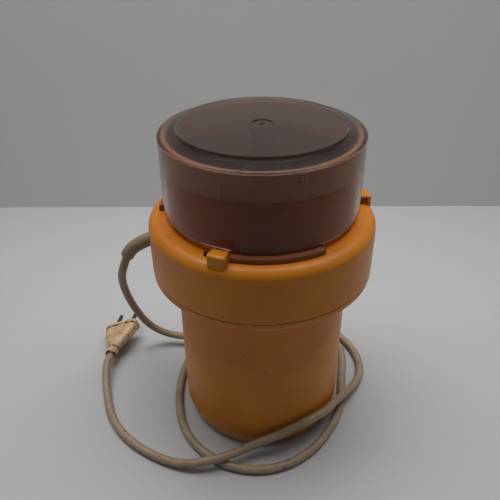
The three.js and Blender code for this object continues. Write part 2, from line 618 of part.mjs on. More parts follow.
function lowerBracket() {
  const bar = box([-MOTOR_BOLT_X - 7, -9, BRACKET_BOTTOM],
    [MOTOR_BOLT_X + 7, 9, BRACKET_BOTTOM + BRACKET_THICKNESS]);
  const hub = rod(BUSH_RADIUS + 3, BRACKET_BOTTOM, BRACKET_BOTTOM + 8, 0, 0, 28);
  const arms = box([-7, -40, BRACKET_BOTTOM], [7, 40, BRACKET_BOTTOM + BRACKET_THICKNESS]);
  const bore = rod(BUSH_RADIUS - 1 + SEAT, BRACKET_BOTTOM - 1, BRACKET_BOTTOM + 10, 0, 0, 28);
  const bolts = [-1, 1].map((side) => (
    rod(MOTOR_BOLT_RADIUS + SEAT, BRACKET_BOTTOM - 1, BRACKET_BOTTOM + 6, side * MOTOR_BOLT_X, 0, 12)));
  return cut(join(bar, hub, arms), bore, ...bolts);
}

const BRUSH_HALF = 3;
const BRUSH_Z = commutatorTop - 9;

function brushHolder(side) {
  const [near, far] = [15, 38];
  const outer = BRUSH_HALF + SEAT + 1.4;
  const tunnel = BRUSH_HALF + SEAT;
  const holder = box([-outer, near, BRUSH_Z - outer], [outer, far, BRUSH_Z + outer]);
  const post = box([-4, 20, BRACKET_BOTTOM + BRACKET_THICKNESS + SEAT], [4, 36, BRUSH_Z - outer + 0.5]);
  const hollow = box([-tunnel, near - 1, BRUSH_Z - tunnel], [tunnel, far - 1.5, BRUSH_Z + tunnel]);
  const made = cut(join(holder, post), hollow);
  return side > 0 ? made : made.rotateZ(Math.PI);
}

function brush(side) {
  const made = box([-BRUSH_HALF, 12 + SEAT, BRUSH_Z - BRUSH_HALF], [BRUSH_HALF, 28, BRUSH_Z + BRUSH_HALF]);
  return side > 0 ? made : made.rotateZ(Math.PI);
}

function brushSpring(side) {
  const made = pipe(2.6, 1.7, 28 + SEAT, 36.2, 0, 0, 14).rotateX(-Math.PI / 2).translate(0, 0, BRUSH_Z);
  return side > 0 ? made : made.rotateZ(Math.PI);
}

piece('stator_core', statorCore(), dullSteel);
piece('lower_bracket', lowerBracket(), blackPlastic);
[['left', -1], ['right', 1]].forEach(([name, side]) => {
  const x = side * MOTOR_BOLT_X;
  const bore = MOTOR_BOLT_RADIUS + SEAT;
  piece(`field_coil_${name}`, fieldCoil(side), copper);
  piece(`lower_spacer_${name}`,
    pipe(SPACER_RADIUS, bore, BRACKET_BOTTOM + BRACKET_THICKNESS + SEAT, STATOR_BOTTOM - SEAT, x, 0, 14),
    dullSteel);
  piece(`upper_spacer_${name}`,
    pipe(SPACER_RADIUS, bore, STATOR_TOP + SEAT, MOTOR_BOSS_BOTTOM - SEAT, x, 0, 14), dullSteel);
  piece(`motor_bolt_${name}`,
    screw(MOTOR_BOLT_RADIUS, 4, BRACKET_BOTTOM - 3.3, BRACKET_BOTTOM - SEAT, WELL_UNDERSIDE - 3, x, 0),
    dullSteel);
});
[['front', -1], ['back', 1]].forEach(([name, side]) => {
  piece(`brush_holder_${name}`, brushHolder(side), brass);
  piece(`carbon_brush_${name}`, brush(side), carbon);
  piece(`brush_spring_${name}`, brushSpring(side), brightSteel);
});

// ---------------------------------------------------------------- safety switch and wiring
const SWITCH_TOP = DECK - WALL - 8;
const PIN_COLLAR = DECK - WALL - 3.4;

function switchPin() {
  const [x, y] = ringPlace(PIN_RING, PIN_ANGLE);
  const stalk = rod(PIN_RADIUS, SWITCH_TOP - 2.5, DECK + PIN_RISE, x, y, 16);
  return join(stalk, rod(2.4, PIN_COLLAR, PIN_COLLAR + 2, x, y, 16));
}

function switchBody() {
  const inner = WELL_RADIUS + WALL + SEAT;
  const outer = COLLAR_RADIUS - WALL - 2 * SEAT;
  const casing = sector(inner, outer, PIN_ANGLE - 0.13, 0.26, SWITCH_TOP - 16, SWITCH_TOP);
  const [x, y] = ringPlace(PIN_RING, PIN_ANGLE);
  return cut(casing, rod(PIN_RADIUS + SEAT, SWITCH_TOP - 8, SWITCH_TOP + 1, x, y, 16));
}

piece('switch_pin', switchPin(), blackPlastic);
piece('pin_spring',
  pipe(2.4, 1.8, SWITCH_TOP + SEAT, PIN_COLLAR - SEAT, ...ringPlace(PIN_RING, PIN_ANGLE), 16), brightSteel);
piece('safety_switch', switchBody(), blackPlastic);
piece('terminal_block', box([-22, -42, WELL_UNDERSIDE - 12], [8, -28, WELL_UNDERSIDE - SEAT]), greyPlastic);

// ---------------------------------------------------------------- mains cord and plug
piece('cord_sleeve', tube(sleevePoints, SLEEVE_RADIUS, 12, 8), cordPlastic);
piece('mains_cord', tube(cordPoints, CORD_RADIUS, 8, 76), cordPlastic);

const PLUG_LENGTH = 42;
const PLUG_HALF_WIDTH = 17.3;
const PLUG_HALF_THICKNESS = 6.8;
const PLUG_NECK = 5.4;
const PLUG_NECK_LENGTH = 9;
const PLUG_RIM = 4.5; // the straight rim round the face
const PLUG_RIM_STEP = 0.9;
const PLUG_PIN_LENGTH = 19;
const PLUG_PIN_RADIUS = 2;
const PLUG_PIN_SPACING = 17.6;
const PLUG_ROLL = 22 * DEGREE;
const PLUG_HEADING = -5 * DEGREE;

// The plug lies on its side: its own +Y runs from the cord towards the pins.
function onTable(geometry) {
  const [x, y, z] = cordPoints.at(-1);
  return geometry.rotateY(-PLUG_ROLL).rotateZ(PLUG_HEADING).translate(x, y + SEAT, z);
}

function plugBody() {
  const side = (halfFace, halfNeck, depth) => {
    const half = [
      [halfNeck, 0], [halfNeck, PLUG_NECK_LENGTH], [halfFace - PLUG_RIM_STEP, PLUG_LENGTH - PLUG_RIM],
      [halfFace, PLUG_LENGTH - PLUG_RIM], [halfFace, PLUG_LENGTH],
    ];
    const other = half.map(([x, y]) => [-x, y]).reverse();
    const outline = new THREE.Shape([...half, ...other].map(([x, y]) => new THREE.Vector2(x, y)));
    return prism(outline, -depth, depth);
  };
  const plan = side(PLUG_HALF_WIDTH, PLUG_NECK, 20);
  const profile = side(PLUG_HALF_THICKNESS, PLUG_NECK, 20).rotateY(Math.PI / 2);
  return common(plan, profile);
}

piece('plug_body', onTable(plugBody()), beigePlastic);
[['left', -1], ['right', 1]].forEach(([name, side]) => {
  const pin = rod(PLUG_PIN_RADIUS, SEAT, PLUG_PIN_LENGTH, 0, 0, 14)
    .rotateX(-Math.PI / 2)
    .translate((side * PLUG_PIN_SPACING) / 2, PLUG_LENGTH, 0);
  piece(`plug_pin_${name}`, onTable(pin), brass);
});

export default chopper;
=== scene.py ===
# A kitchen chopper: smoky drum lid, sunken bowl, wide collar and round motor body, with its
# mains lead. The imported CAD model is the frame, and every surface that shows is made here around
# it. Profiles and sizes are in millimetres and meshes in metres. Z is up, and the front is at -Y.
import json
import bpy
import numpy as np
from mathutils import Matrix


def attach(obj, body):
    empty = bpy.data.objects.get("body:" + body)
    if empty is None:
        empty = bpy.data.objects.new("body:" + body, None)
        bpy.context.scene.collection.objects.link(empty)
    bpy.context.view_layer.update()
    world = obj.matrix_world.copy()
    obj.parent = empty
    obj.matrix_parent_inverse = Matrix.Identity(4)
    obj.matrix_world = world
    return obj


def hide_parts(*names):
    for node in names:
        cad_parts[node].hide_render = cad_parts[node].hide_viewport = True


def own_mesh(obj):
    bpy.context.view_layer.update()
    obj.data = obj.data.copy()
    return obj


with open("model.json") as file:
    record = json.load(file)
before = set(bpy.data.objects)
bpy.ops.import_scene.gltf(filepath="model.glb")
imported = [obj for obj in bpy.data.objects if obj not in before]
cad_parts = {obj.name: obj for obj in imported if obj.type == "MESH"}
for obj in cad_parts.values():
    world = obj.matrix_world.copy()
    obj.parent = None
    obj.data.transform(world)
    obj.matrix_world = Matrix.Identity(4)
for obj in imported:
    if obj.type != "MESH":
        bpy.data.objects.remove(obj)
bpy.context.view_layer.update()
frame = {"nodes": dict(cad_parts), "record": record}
MM = 0.001

# ------------------------------------------------------------------ camera
# It stands in front of the chopper and a little above it, and looks down at the collar.
camera_place = np.array([-1.9, -348.9, 366.0]) * MM
pitch, yaw, roll = np.radians([32.314, -1.119, -0.686])
ahead = np.array([np.sin(yaw) * np.cos(pitch), np.cos(yaw) * np.cos(pitch), -np.sin(pitch)])
level = np.array([np.cos(yaw), -np.sin(yaw), 0.0])
upward = np.cross(level, ahead)
camera_right = level * np.cos(roll) + upward * np.sin(roll)
camera_up = upward * np.cos(roll) - level * np.sin(roll)
lens = bpy.data.cameras.new("camera")
lens.sensor_width, lens.lens = 36.0, 39.6
camera = bpy.data.objects.new("camera", lens)
bpy.context.scene.collection.objects.link(camera)
camera.matrix_world = Matrix([[*row, place] for row, place in zip(
    np.stack([camera_right, camera_up, -ahead], axis=1).tolist(), camera_place.tolist())]
    + [[0.0, 0.0, 0.0, 1.0]])
bpy.context.scene.camera = camera

# ------------------------------------------------------------------ mains lead
# A round two-core lead in beige PVC, extruded in one length and gone stiff with age. It hangs
# from the collar, runs once round the foot, climbs over itself twice and ends in the plug.
LEAD_RADIUS = 3.3 * MM
lead_points = np.array([
    [-104.9, 10.4, 133.3], [-109.1, 12.4, 123.5], [-112.6, 15.8, 113.5], [-115, 21, 103],
    [-116.3, 28, 89], [-116, 36, 72], [-113.5, 44, 53], [-109, 51, 35.5], [-101.5, 56, 21.5],
    [-90, 58, 13], [-75.5, 57, 10.6], [-58, 59, 10.4], [-42, 65, 10], [-26, 72, 7.5],
    [-8, 78.5, 4.6], [12, 82, 3.4], [32, 81, 3.4], [52, 75, 3.4], [67, 64.5, 3.4], [75, 50, 3.4],
    [75.5, 32, 3.4], [72.5, 12, 3.4], [70, -5, 3.4], [67.5, -20, 3.4], [61.5, -37, 3.4],
    [53, -51, 3.4], [44, -63, 3.4], [33, -73, 3.4], [20, -81, 3.4], [5, -85.5, 3.4],
    [-10, -86, 3.4], [-24, -83, 3.4], [-36, -77, 3.4], [-48, -68, 3.4], [-57.5, -57, 3.4],
    [-64.5, -44, 3.4], [-69, -29, 3.4], [-71.5, -13, 3.4], [-72, 4, 3.4], [-70.5, 20, 3.4],
    [-66.5, 36, 3.4], [-59, 52, 3.4], [-47, 68, 3.4], [-31, 82, 3.4], [-12, 91, 3.4],
    [10, 95, 3.4], [32, 93.5, 3.4], [53, 86, 3.4], [70, 73.5, 3.4], [81.5, 58.5, 3.4],
    [88.5, 42, 3.4], [90.5, 25, 3.5], [87, 9, 4.4], [79.5, -5, 7.6], [70.5, -18.5, 12.6],
    [60.6, -32.2, 18.6], [49.8, -47.3, 23.6], [38.9, -56.7, 25.6], [27.6, -62.9, 24.6],
    [15.3, -67.1, 21], [3.5, -69.4, 16.4], [-7, -71.5, 12.8], [-17.5, -75.5, 10.9],
    [-29, -80.3, 10.5], [-41, -83.3, 9.6], [-53, -84.2, 7.6], [-66, -81.6, 5.2],
    [-79, -76.4, 3.7], [-92, -69.4, 3.4], [-104.5, -60.5, 3.4], [-116, -49, 3.4],
    [-126, -34, 3.4], [-133.2, -16, 4], [-137.6, -1, 7], [-139.6, 9, 10.6], [-140.2, 18, 12.9],
    [-139.4, 27, 13.1]]) * MM
sleeve_points = np.array([
    [-76.5, 6.8, 154.1], [-80.9, 7, 152.5], [-90, 7.6, 148.4], [-98, 8.7, 142.9],
    [-103.2, 9.8, 136.6], [-104.4, 10.2, 134.4]]) * MM


def smooth_route(points, count):
    """A centripetal Catmull-Rom line through the points: between two of them it is the cubic whose
    slopes come from the neighbours, each gap counted as the square root of its length."""
    padded = np.vstack([2 * points[0] - points[1], points, 2 * points[-1] - points[-2]])
    p0, p1, p2, p3 = padded[:-3], padded[1:-2], padded[2:-1], padded[3:]
    gap = lambda a, b: np.sqrt(np.linalg.norm(b - a, axis=1))[:, None]
    d0, d1, d2 = gap(p0, p1), gap(p1, p2), gap(p2, p3)
    slope1 = ((p1 - p0) / d0 - (p2 - p0) / (d0 + d1) + (p2 - p1) / d1) * d1
    slope2 = ((p2 - p1) / d1 - (p3 - p1) / (d1 + d2) + (p3 - p2) / d2) * d1
    t = (np.arange(count) / count)[None, :, None]
    a, b, m, n = (v[:, None, :] for v in (p1, p2, slope1, slope2))
    line = (a * (2 * t**3 - 3 * t**2 + 1) + m * (t**3 - 2 * t**2 + t)
            + b * (3 * t**2 - 2 * t**3) + n * (t**3 - t**2))
    return np.vstack([line.reshape(-1, 3), points[-1:]])


def make_piece(name, vertices, faces, body, uv=None, wear_dirt_and_painted_highlight=None):
    """A mesh object at the origin with smooth faces, an optional UV pair for each corner and an
    optional 0 to 1 value for each vertex that says how exposed it is to wear; on the plug it says
    where dirt gathers, and on the lid ring where a painted highlight goes."""
    mesh = bpy.data.meshes.new(name)
    mesh.from_pydata(np.asarray(vertices).tolist(), [], [list(f) for f in faces])
    mesh.polygons.foreach_set("use_smooth", np.ones(len(mesh.polygons), dtype=bool))
    if uv is not None:
        mesh.uv_layers.new(name="surface").data.foreach_set("uv", np.asarray(uv).ravel())
    if wear_dirt_and_painted_highlight is not None:
        mesh.attributes.new("wear_dirt_and_painted_highlight", "FLOAT", "POINT").data.foreach_set("value", np.ravel(wear_dirt_and_painted_highlight))
    mesh.validate()
    mesh.update()
    made = bpy.data.objects.new(name, mesh)
    bpy.context.scene.collection.objects.link(made)
    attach(made, body)
    return made


def grid_faces(rows, columns, wrap_rows=False, wrap_columns=True):
    """Quads between the neighbouring points of a grid stored row by row."""
    r = np.arange(rows if wrap_rows else rows - 1)[:, None]
    c = np.arange(columns if wrap_columns else columns - 1)[None, :]
    r1, c1 = (r + 1) % rows, (c + 1) % columns
    return np.stack([r * columns + c, r * columns + c1, r1 * columns + c1, r1 * columns + c],
                    axis=-1).reshape(-1, 4)


def closed_tube(rings, flip=False):
    """Skin of a tube given as rows of rings: quads between the rings, and a fan of triangles to the
    middle of the first ring and of the last. flip turns the faces round, for rings that run the
    other way about the tube."""
    rows, sides = rings.shape[:2]
    vertices = np.vstack([rings.reshape(-1, 3), rings[0].mean(axis=0), rings[-1].mean(axis=0)])
    near = np.arange(sides)
    far = near + (rows - 1) * sides
    start_cap = np.stack([np.roll(near, -1), near, np.full(sides, rows * sides)], axis=1)
    end_cap = np.stack([far, np.roll(far, -1), np.full(sides, rows * sides + 1)], axis=1)
    faces = [*grid_faces(rows, sides), *start_cap, *end_cap]
    return vertices, [face[::-1] for face in faces] if flip else faces


def along(path, radius, sides, centre=(0, 0, 0)):
    """A round tube with closed ends. At each point p of the path there is a circle in the plane
    across it, p + r (cos a u + sin a v), where u points away from the upright line through the
    centre and v is square to both u and the path."""
    tangent = np.gradient(path, axis=0)
    tangent /= np.linalg.norm(tangent, axis=1)[:, None]
    outward = (path - centre) * [1, 1, 0]
    outward = outward - (outward * tangent).sum(axis=1)[:, None] * tangent
    outward /= np.linalg.norm(outward, axis=1)[:, None]
    across = np.cross(tangent, outward)
    angle = np.linspace(0, 2 * np.pi, sides, endpoint=False)[None, :, None]
    radius = np.broadcast_to(radius, len(path))[:, None, None]
    circles = np.cos(angle) * outward[:, None] + np.sin(angle) * across[:, None]
    return closed_tube(path[:, None] + radius * circles)


def material(name):
    """An empty node material with its output and a Principled shader joined to it."""
    made = bpy.data.materials.new(name)
    made.use_nodes = True
    tree = made.node_tree
    tree.nodes.clear()
    out = tree.nodes.new("ShaderNodeOutputMaterial")
    shader = tree.nodes.new("ShaderNodeBsdfPrincipled")
    tree.links.new(shader.outputs["BSDF"], out.inputs["Surface"])
    return made, tree, shader


def aged_plastic_group():
    """Moulded plastic after years in a kitchen. The colour drifts towards a second one in soft
    clouds, small dark specks lie on it, marked places go to the Pale colour (worn edges, dirt, and
    on the lid ring's ribs a painted highlight), and the skin has a faint orange peel."""
    group = bpy.data.node_groups.new("aged_plastic", "ShaderNodeTree")
    face = group.interface
    for label, kind, value in (
            ("Colour", "NodeSocketColor", (0.5, 0.5, 0.5, 1)),
            ("Drift", "NodeSocketColor", (0.4, 0.4, 0.4, 1)),
            ("Speck", "NodeSocketColor", (0.05, 0.03, 0.02, 1)),
            ("Pale", "NodeSocketColor", (0.9, 0.8, 0.7, 1)),
            ("Wear Dirt And Painted Highlight", "NodeSocketFloat", 0.0), ("Cloud Scale", "NodeSocketFloat", 30.0),
            ("Speck Scale", "NodeSocketFloat", 120.0), ("Speck Amount", "NodeSocketFloat", 0.1),
            ("Peel Scale", "NodeSocketFloat", 900.0), ("Peel Depth", "NodeSocketFloat", 0.05),
            ("Smoothness", "NodeSocketFloat", 0.35)):
        face.new_socket(label, in_out="INPUT", socket_type=kind).default_value = value
    for label, kind in (("Colour", "NodeSocketColor"), ("Roughness", "NodeSocketFloat"),
                        ("Normal", "NodeSocketVector")):
        face.new_socket(label, in_out="OUTPUT", socket_type=kind)
    node, link = group.nodes.new, group.links.new
    given, result = node("NodeGroupInput"), node("NodeGroupOutput")
    place = node("ShaderNodeTexCoord")

    def noise(scale, detail, rough):
        made = node("ShaderNodeTexNoise")
        made.inputs["Detail"].default_value = detail
        made.inputs["Roughness"].default_value = rough
        link(place.outputs["Object"], made.inputs["Vector"])
        link(given.outputs[scale], made.inputs["Scale"])
        return made

    def span(source, low, high):
        made = node("ShaderNodeMapRange")
        made.inputs["From Min"].default_value = low
        made.inputs["From Max"].default_value = high
        link(source, made.inputs["Value"])
        return made.outputs["Result"]

    def blend(share, first, second):
        made = node("ShaderNodeMix")
        made.data_type = "RGBA"
        link(share, made.inputs["Factor"])
        link(first, made.inputs["A"])
        link(second, made.inputs["B"])
        return made.outputs["Result"]

    def maths(operation, first, second):
        made = node("ShaderNodeMath")
        made.operation = operation
        for socket, value in zip(made.inputs, (first, second)):
            if isinstance(value, float):
                socket.default_value = value
            else:
                link(value, socket)
        return made.outputs["Value"]

    clouds = noise("Cloud Scale", 5.0, 0.62)
    specks = noise("Speck Scale", 3.0, 0.55)
    peel = noise("Peel Scale", 2.0, 0.5)
    cloud = span(clouds.outputs["Fac"], 0.38, 0.68)
    tone = blend(cloud, given.outputs["Colour"], given.outputs["Drift"])
    dot = span(maths("ADD", specks.outputs["Fac"], given.outputs["Speck Amount"]), 0.74, 0.80)
    dotted = blend(dot, tone, given.outputs["Speck"])
    pale_share = maths("MULTIPLY", given.outputs["Wear Dirt And Painted Highlight"], span(specks.outputs["Fac"], 0.42, 0.58))
    link(blend(pale_share, dotted, given.outputs["Pale"]), result.inputs["Colour"])
    haze = maths("MULTIPLY", span(clouds.outputs["Fac"], 0.3, 0.7), 0.12)
    link(maths("ADD", given.outputs["Smoothness"], haze), result.inputs["Roughness"])
    bump = node("ShaderNodeBump")
    bump.inputs["Distance"].default_value = 0.0002
    link(given.outputs["Peel Depth"], bump.inputs["Strength"])
    link(peel.outputs["Fac"], bump.inputs["Height"])
    link(bump.outputs["Normal"], result.inputs["Normal"])
    return group


aged_plastic = aged_plastic_group()


def plastic(name, colour, drift, values, gloss=0.5, wear_dirt_and_painted_highlight=False):
    """A material of aged plastic with the named group values. When asked, the mesh's attribute named
    like that argument says where the Pale colour shows: edge wear, dirt, and on the lid ring a
    painted highlight."""
    made, tree, shader = material(name)
    skin = tree.nodes.new("ShaderNodeGroup")
    skin.node_tree = aged_plastic
    skin.inputs["Colour"].default_value = (*colour, 1)
    skin.inputs["Drift"].default_value = (*drift, 1)
    for label, value in values.items():
        skin.inputs[label].default_value = value
    if wear_dirt_and_painted_highlight:
        edges = tree.nodes.new("ShaderNodeAttribute")
        edges.attribute_name = "wear_dirt_and_painted_highlight"
        tree.links.new(edges.outputs["Fac"], skin.inputs["Wear Dirt And Painted Highlight"])
    tree.links.new(skin.outputs["Colour"], shader.inputs["Base Color"])
    tree.links.new(skin.outputs["Roughness"], shader.inputs["Roughness"])
    tree.links.new(skin.outputs["Normal"], shader.inputs["Normal"])
    shader.inputs["Specular IOR Level"].default_value = gloss
    return made


lead_plastic = plastic("lead_pvc", (0.34, 0.255, 0.165), (0.26, 0.19, 0.12),
                       {"Speck": (0.02, 0.015, 0.012, 1), "Cloud Scale": 60.0, "Speck Scale": 330.0,
                        "Speck Amount": 0.09, "Peel Depth": 0.08, "Smoothness": 0.42})
lead_path = smooth_route(lead_points, 8)
vertices, faces = along(lead_path, LEAD_RADIUS, 24)
mains_lead = make_piece("mains_lead", vertices, faces, "housing")
mains_lead.data.materials.append(lead_plastic)
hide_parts("mains_cord")

# ------------------------------------------------------------------ cord sleeve
# The strain relief is a soft beige PVC tube pushed through the collar's wall. It narrows towards
# its cut end, where the lead comes out of it.
SLEEVE_RADIUS = 5.4 * MM
SLEEVE_TAPER = 0.06
sleeve_path = smooth_route(sleeve_points, 12)
sleeve_shape = SLEEVE_RADIUS * (1 - SLEEVE_TAPER * np.linspace(0, 1, len(sleeve_path)))
# The cut end is square, with its edge broken over the last fifth of a millimetre.
cut_steps = np.array([[0.15], [0.3], [0.33]]) * MM
cut_shrink = np.array([0, 0.12, 0.3]) * MM
last_step = sleeve_path[-1] - sleeve_path[-2]
sleeve_path = np.vstack([sleeve_path, sleeve_path[-1] + cut_steps * last_step / np.linalg.norm(last_step)])
sleeve_shape = np.concatenate([sleeve_shape, sleeve_shape[-1] - cut_shrink])
vertices, faces = along(sleeve_path, sleeve_shape, 32)
cord_sleeve = make_piece("strain_relief", vertices, faces, "housing")
cord_sleeve.data.materials.append(plastic(
    "sleeve_pvc", (0.28, 0.20, 0.12), (0.20, 0.14, 0.08),
    {"Cloud Scale": 70.0, "Speck Scale": 150.0, "Speck Amount": 0.05, "Peel Depth": 0.1, "Smoothness": 0.45}))
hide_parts("cord_sleeve")

# ------------------------------------------------------------------ plug
# A moulded two-pin mains plug in the lead's own beige: a flat body that flares from a grooved
# neck to its face, with two sleeved pins. It has lain in a drawer and is stained.
PLUG_LENGTH = 42 * MM
NECK_HALF, FACE_HALF_WIDTH, FACE_HALF_THICKNESS = 5.2, 17.1, 6.6
GROOVE_AT, FLARE_AT, FLARE_LENGTH, RIM_AT, RIM_STEP = 8.2, 8.6, 28.4, 37.6, 0.9
DIRT = 1.9  # how strongly the dirt shows where it gathers
plug_roll, plug_heading = np.radians([22.0, -5.0])
plug_gap = 0.3 * MM  # between the lead's end and the plug's


def on_table(local):
    """Turns points of the plug's own space, where +Y runs from the lead to the pins, to where the
    plug lies: rolled about its length, then turned about the vertical."""
    x, y, z = local[..., 0], local[..., 1], local[..., 2]
    rolled_x = x * np.cos(plug_roll) - z * np.sin(plug_roll)
    rolled_z = x * np.sin(plug_roll) + z * np.cos(plug_roll)
    turned_x = rolled_x * np.cos(plug_heading) - y * np.sin(plug_heading)
    turned_y = rolled_x * np.sin(plug_heading) + y * np.cos(plug_heading)
    return np.stack([turned_x, turned_y + plug_gap, rolled_z], axis=-1) + lead_points[-1]


def plug_section(share):
    """Half width and half thickness along the plug, at shares of its length from the lead: a
    straight neck with a groove at its end, sides that spread as 1 - (1 - t)^1.5, and a straight
    rim round the face. Also returns where dirt gathers, as the sum of three bell curves: at the
    lead's end, in the groove and at the rim's foot."""
    at = share * PLUG_LENGTH / MM
    spread = 1 - (1 - np.clip((at - FLARE_AT) / FLARE_LENGTH, 0, 1))**1.5
    groove = 1.1 * np.exp(-((at - GROOVE_AT) / 0.8)**2)
    rim = np.where(at > RIM_AT, 0.0, RIM_STEP * np.clip((at - 12) / 10, 0, 1))
    width = NECK_HALF + (FACE_HALF_WIDTH - NECK_HALF) * spread - groove - rim
    thickness = NECK_HALF + (FACE_HALF_THICKNESS - NECK_HALF) * spread - groove - rim
    dirt = (np.exp(-((at - GROOVE_AT) / 0.9)**2) + np.exp(-((at - RIM_AT + 0.3) / 0.7)**2)
            + np.exp(-at**2))
    return width * MM, thickness * MM, DIRT * dirt


def plug_shell(rows=220, columns=64):
    """Sections across the plug's length: rounded rectangles, |x/w|^n + |z/t|^n = 1, whose corners
    sharpen from round at the neck to square at the face. The edge of each end is a quarter circle."""
    share = np.linspace(0, 1, rows)
    width, thickness, dirt = plug_section(share)
    edge = 1.2 * MM
    from_end = np.minimum(share, 1 - share) * PLUG_LENGTH
    pull = edge * (1 - np.sqrt(1 - (1 - np.clip(from_end / edge, 0, 1))**2))
    width, thickness = width - pull, thickness - pull
    power = 2.0 + 2.6 * np.clip((share - 0.3) / 0.3, 0, 1)
    angle = np.linspace(0, 2 * np.pi, columns, endpoint=False)[None, :]
    cosine, sine = np.cos(angle), np.sin(angle)
    reach = (np.abs(cosine)**power[:, None] + np.abs(sine)**power[:, None])**(-1 / power[:, None])
    rings = np.stack([width[:, None] * reach * cosine,
                      np.broadcast_to((share * PLUG_LENGTH)[:, None], reach.shape),
                      thickness[:, None] * reach * sine], axis=-1)
    return *closed_tube(rings, flip=True), np.concatenate([np.repeat(dirt, columns), [DIRT, 0]])


vertices, faces, dirt = plug_shell()
plug = make_piece("mains_plug", on_table(vertices), faces, "housing", wear_dirt_and_painted_highlight=dirt)
plug.data.materials.append(plastic(
    "plug_pvc", (0.56, 0.41, 0.25), (0.40, 0.25, 0.12),
    {"Speck": (0.02, 0.01, 0.006, 1), "Pale": (0.05, 0.028, 0.014, 1), "Cloud Scale": 130.0,
     "Speck Scale": 330.0, "Speck Amount": 0.13, "Peel Depth": 0.2, "Smoothness": 0.4}, wear_dirt_and_painted_highlight=True))
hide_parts("plug_body")


def plug_pin(side):
    """A round pin turned from a profile: sleeved for its first 10 mm, then a little thinner and
    bare, with a tip that is part of an ellipse, (1.85 cos t, 1.8 sin t)."""
    offset, foot, sleeved, bare, sides = 8.8, 42.2, 2.0, 1.85, 20
    tip = np.linspace(0.1, 1.5, 8)
    along_pin = np.concatenate([[0, 10, 10.2], np.linspace(10.3, 17.2, 6), 17.2 + 1.8 * np.sin(tip)])
    radius = np.concatenate([[sleeved, sleeved, bare], np.full(6, bare), bare * np.cos(tip)])
    path = np.stack([np.full(len(radius), side * offset), foot + along_pin, 0 * radius], axis=1)
    angle = np.linspace(0, 2 * np.pi, sides, endpoint=False)[None, :]
    circle = np.stack([np.cos(angle), 0 * angle, -np.sin(angle)], axis=-1)
    return closed_tube((path[:, None] + radius[:, None, None] * circle) * MM)


def object_noise(tree, scale, detail=2.0):
    """A noise texture on object coordinates; returns its value."""
    noise, place = tree.nodes.new("ShaderNodeTexNoise"), tree.nodes.new("ShaderNodeTexCoord")
    noise.inputs["Scale"].default_value = scale
    noise.inputs["Detail"].default_value = detail
    tree.links.new(place.outputs["Object"], noise.inputs["Vector"])
    return noise.outputs["Fac"]


def colour_ramp(tree, share, first, second, low=0.0, high=1.0):
    """A colour that goes from the first to the second while the share goes from low to high."""
    ramp = tree.nodes.new("ShaderNodeValToRGB")
    for stop, place, colour in zip(ramp.color_ramp.elements, (low, high), (first, second)):
        stop.position, stop.color = place, (*colour, 1)
    tree.links.new(share, ramp.inputs["Fac"])
    return ramp.outputs["Color"]


pin_metal, tree, shader = material("pin_metal")
tarnish = colour_ramp(tree, object_noise(tree, 500), (0.03, 0.028, 0.025), (0.16, 0.15, 0.13))
tree.links.new(tarnish, shader.inputs["Base Color"])
shader.inputs["Metallic"].default_value = 0.85
shader.inputs["Roughness"].default_value = 0.35
for side, word in ((-1, "left"), (1, "right")):
    vertices, faces = plug_pin(side)
    pin = make_piece(f"pin_{word}", on_table(vertices), faces, "housing")
    pin.data.materials.append(pin_metal)
    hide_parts(f"plug_pin_{word}")

# ------------------------------------------------------------------ collar
# The upper housing is one injection moulding in orange ABS: a wide collar with a round shoulder,
# whose middle sinks to hold the bowl. Three hooks stand on its deck for the lid.
COLLAR_RADIUS, DECK, SEAM, WELL_RADIUS, WELL_FLOOR = 81.0, 180.5, 140.0, 65.8, 149.0
WALL = 2.6


def rounded(corners, steps=7):
    """A closed profile of (radius, height) in mm from corners (radius, height, fillet): each corner
    becomes an arc of that fillet, with one more point close before it and after it, so that the
    flats stay flat. Also returns how exposed each point is: 1 in the middle of an outer arc."""
    straight = 1.55  # half the angle, in radians, past which a corner is left as it is
    broad = 3.0  # a fillet from this size on isn't an edge that wears
    corners = np.asarray(corners, dtype=float)
    place, fillet = corners[:, :2], corners[:, 2]
    before, after = np.roll(place, 1, axis=0), np.roll(place, -1, axis=0)
    points, exposed = [], []
    area = 0.5 * np.sum(place[:, 0] * after[:, 1] - after[:, 0] * place[:, 1])
    for here, last, coming, size in zip(place, before, after, fillet):
        back, on = last - here, coming - here
        room = min(np.hypot(*back), np.hypot(*on))
        back, on = back / np.hypot(*back), on / np.hypot(*on)
        half = 0.5 * np.arccos(np.clip(back @ on, -1, 1))
        if size <= 0 or half > straight or here[0] < 1e-6:
            points.append(here[None])
            exposed.append([0.0])
            continue
        cut = min(size / np.tan(half), 0.49 * room)
        size = cut * np.tan(half)
        centre = here + (back + on) / np.hypot(*(back + on)) * size / np.sin(half)
        first, last_point = here + back * cut, here + on * cut
        a0 = np.arctan2(*(first - centre)[::-1])
        sweep = np.arctan2(*(last_point - centre)[::-1]) - a0
        sweep = (sweep + np.pi) % (2 * np.pi) - np.pi
        angle = a0 + sweep * np.linspace(0, 1, steps)
        arc = centre + size * np.stack([np.cos(angle), np.sin(angle)], axis=1)
        ease = min(0.12, 0.4 * (room - cut))
        points.append(np.vstack([first + back * ease, arc, last_point + on * ease]))
        outer = 1.0 if np.sign(sweep) == np.sign(area) and size < broad else 0.0
        exposed.append(np.concatenate([[0], outer * np.sin(np.linspace(0, np.pi, steps)), [0]]))
    return np.vstack(points), np.concatenate(exposed)


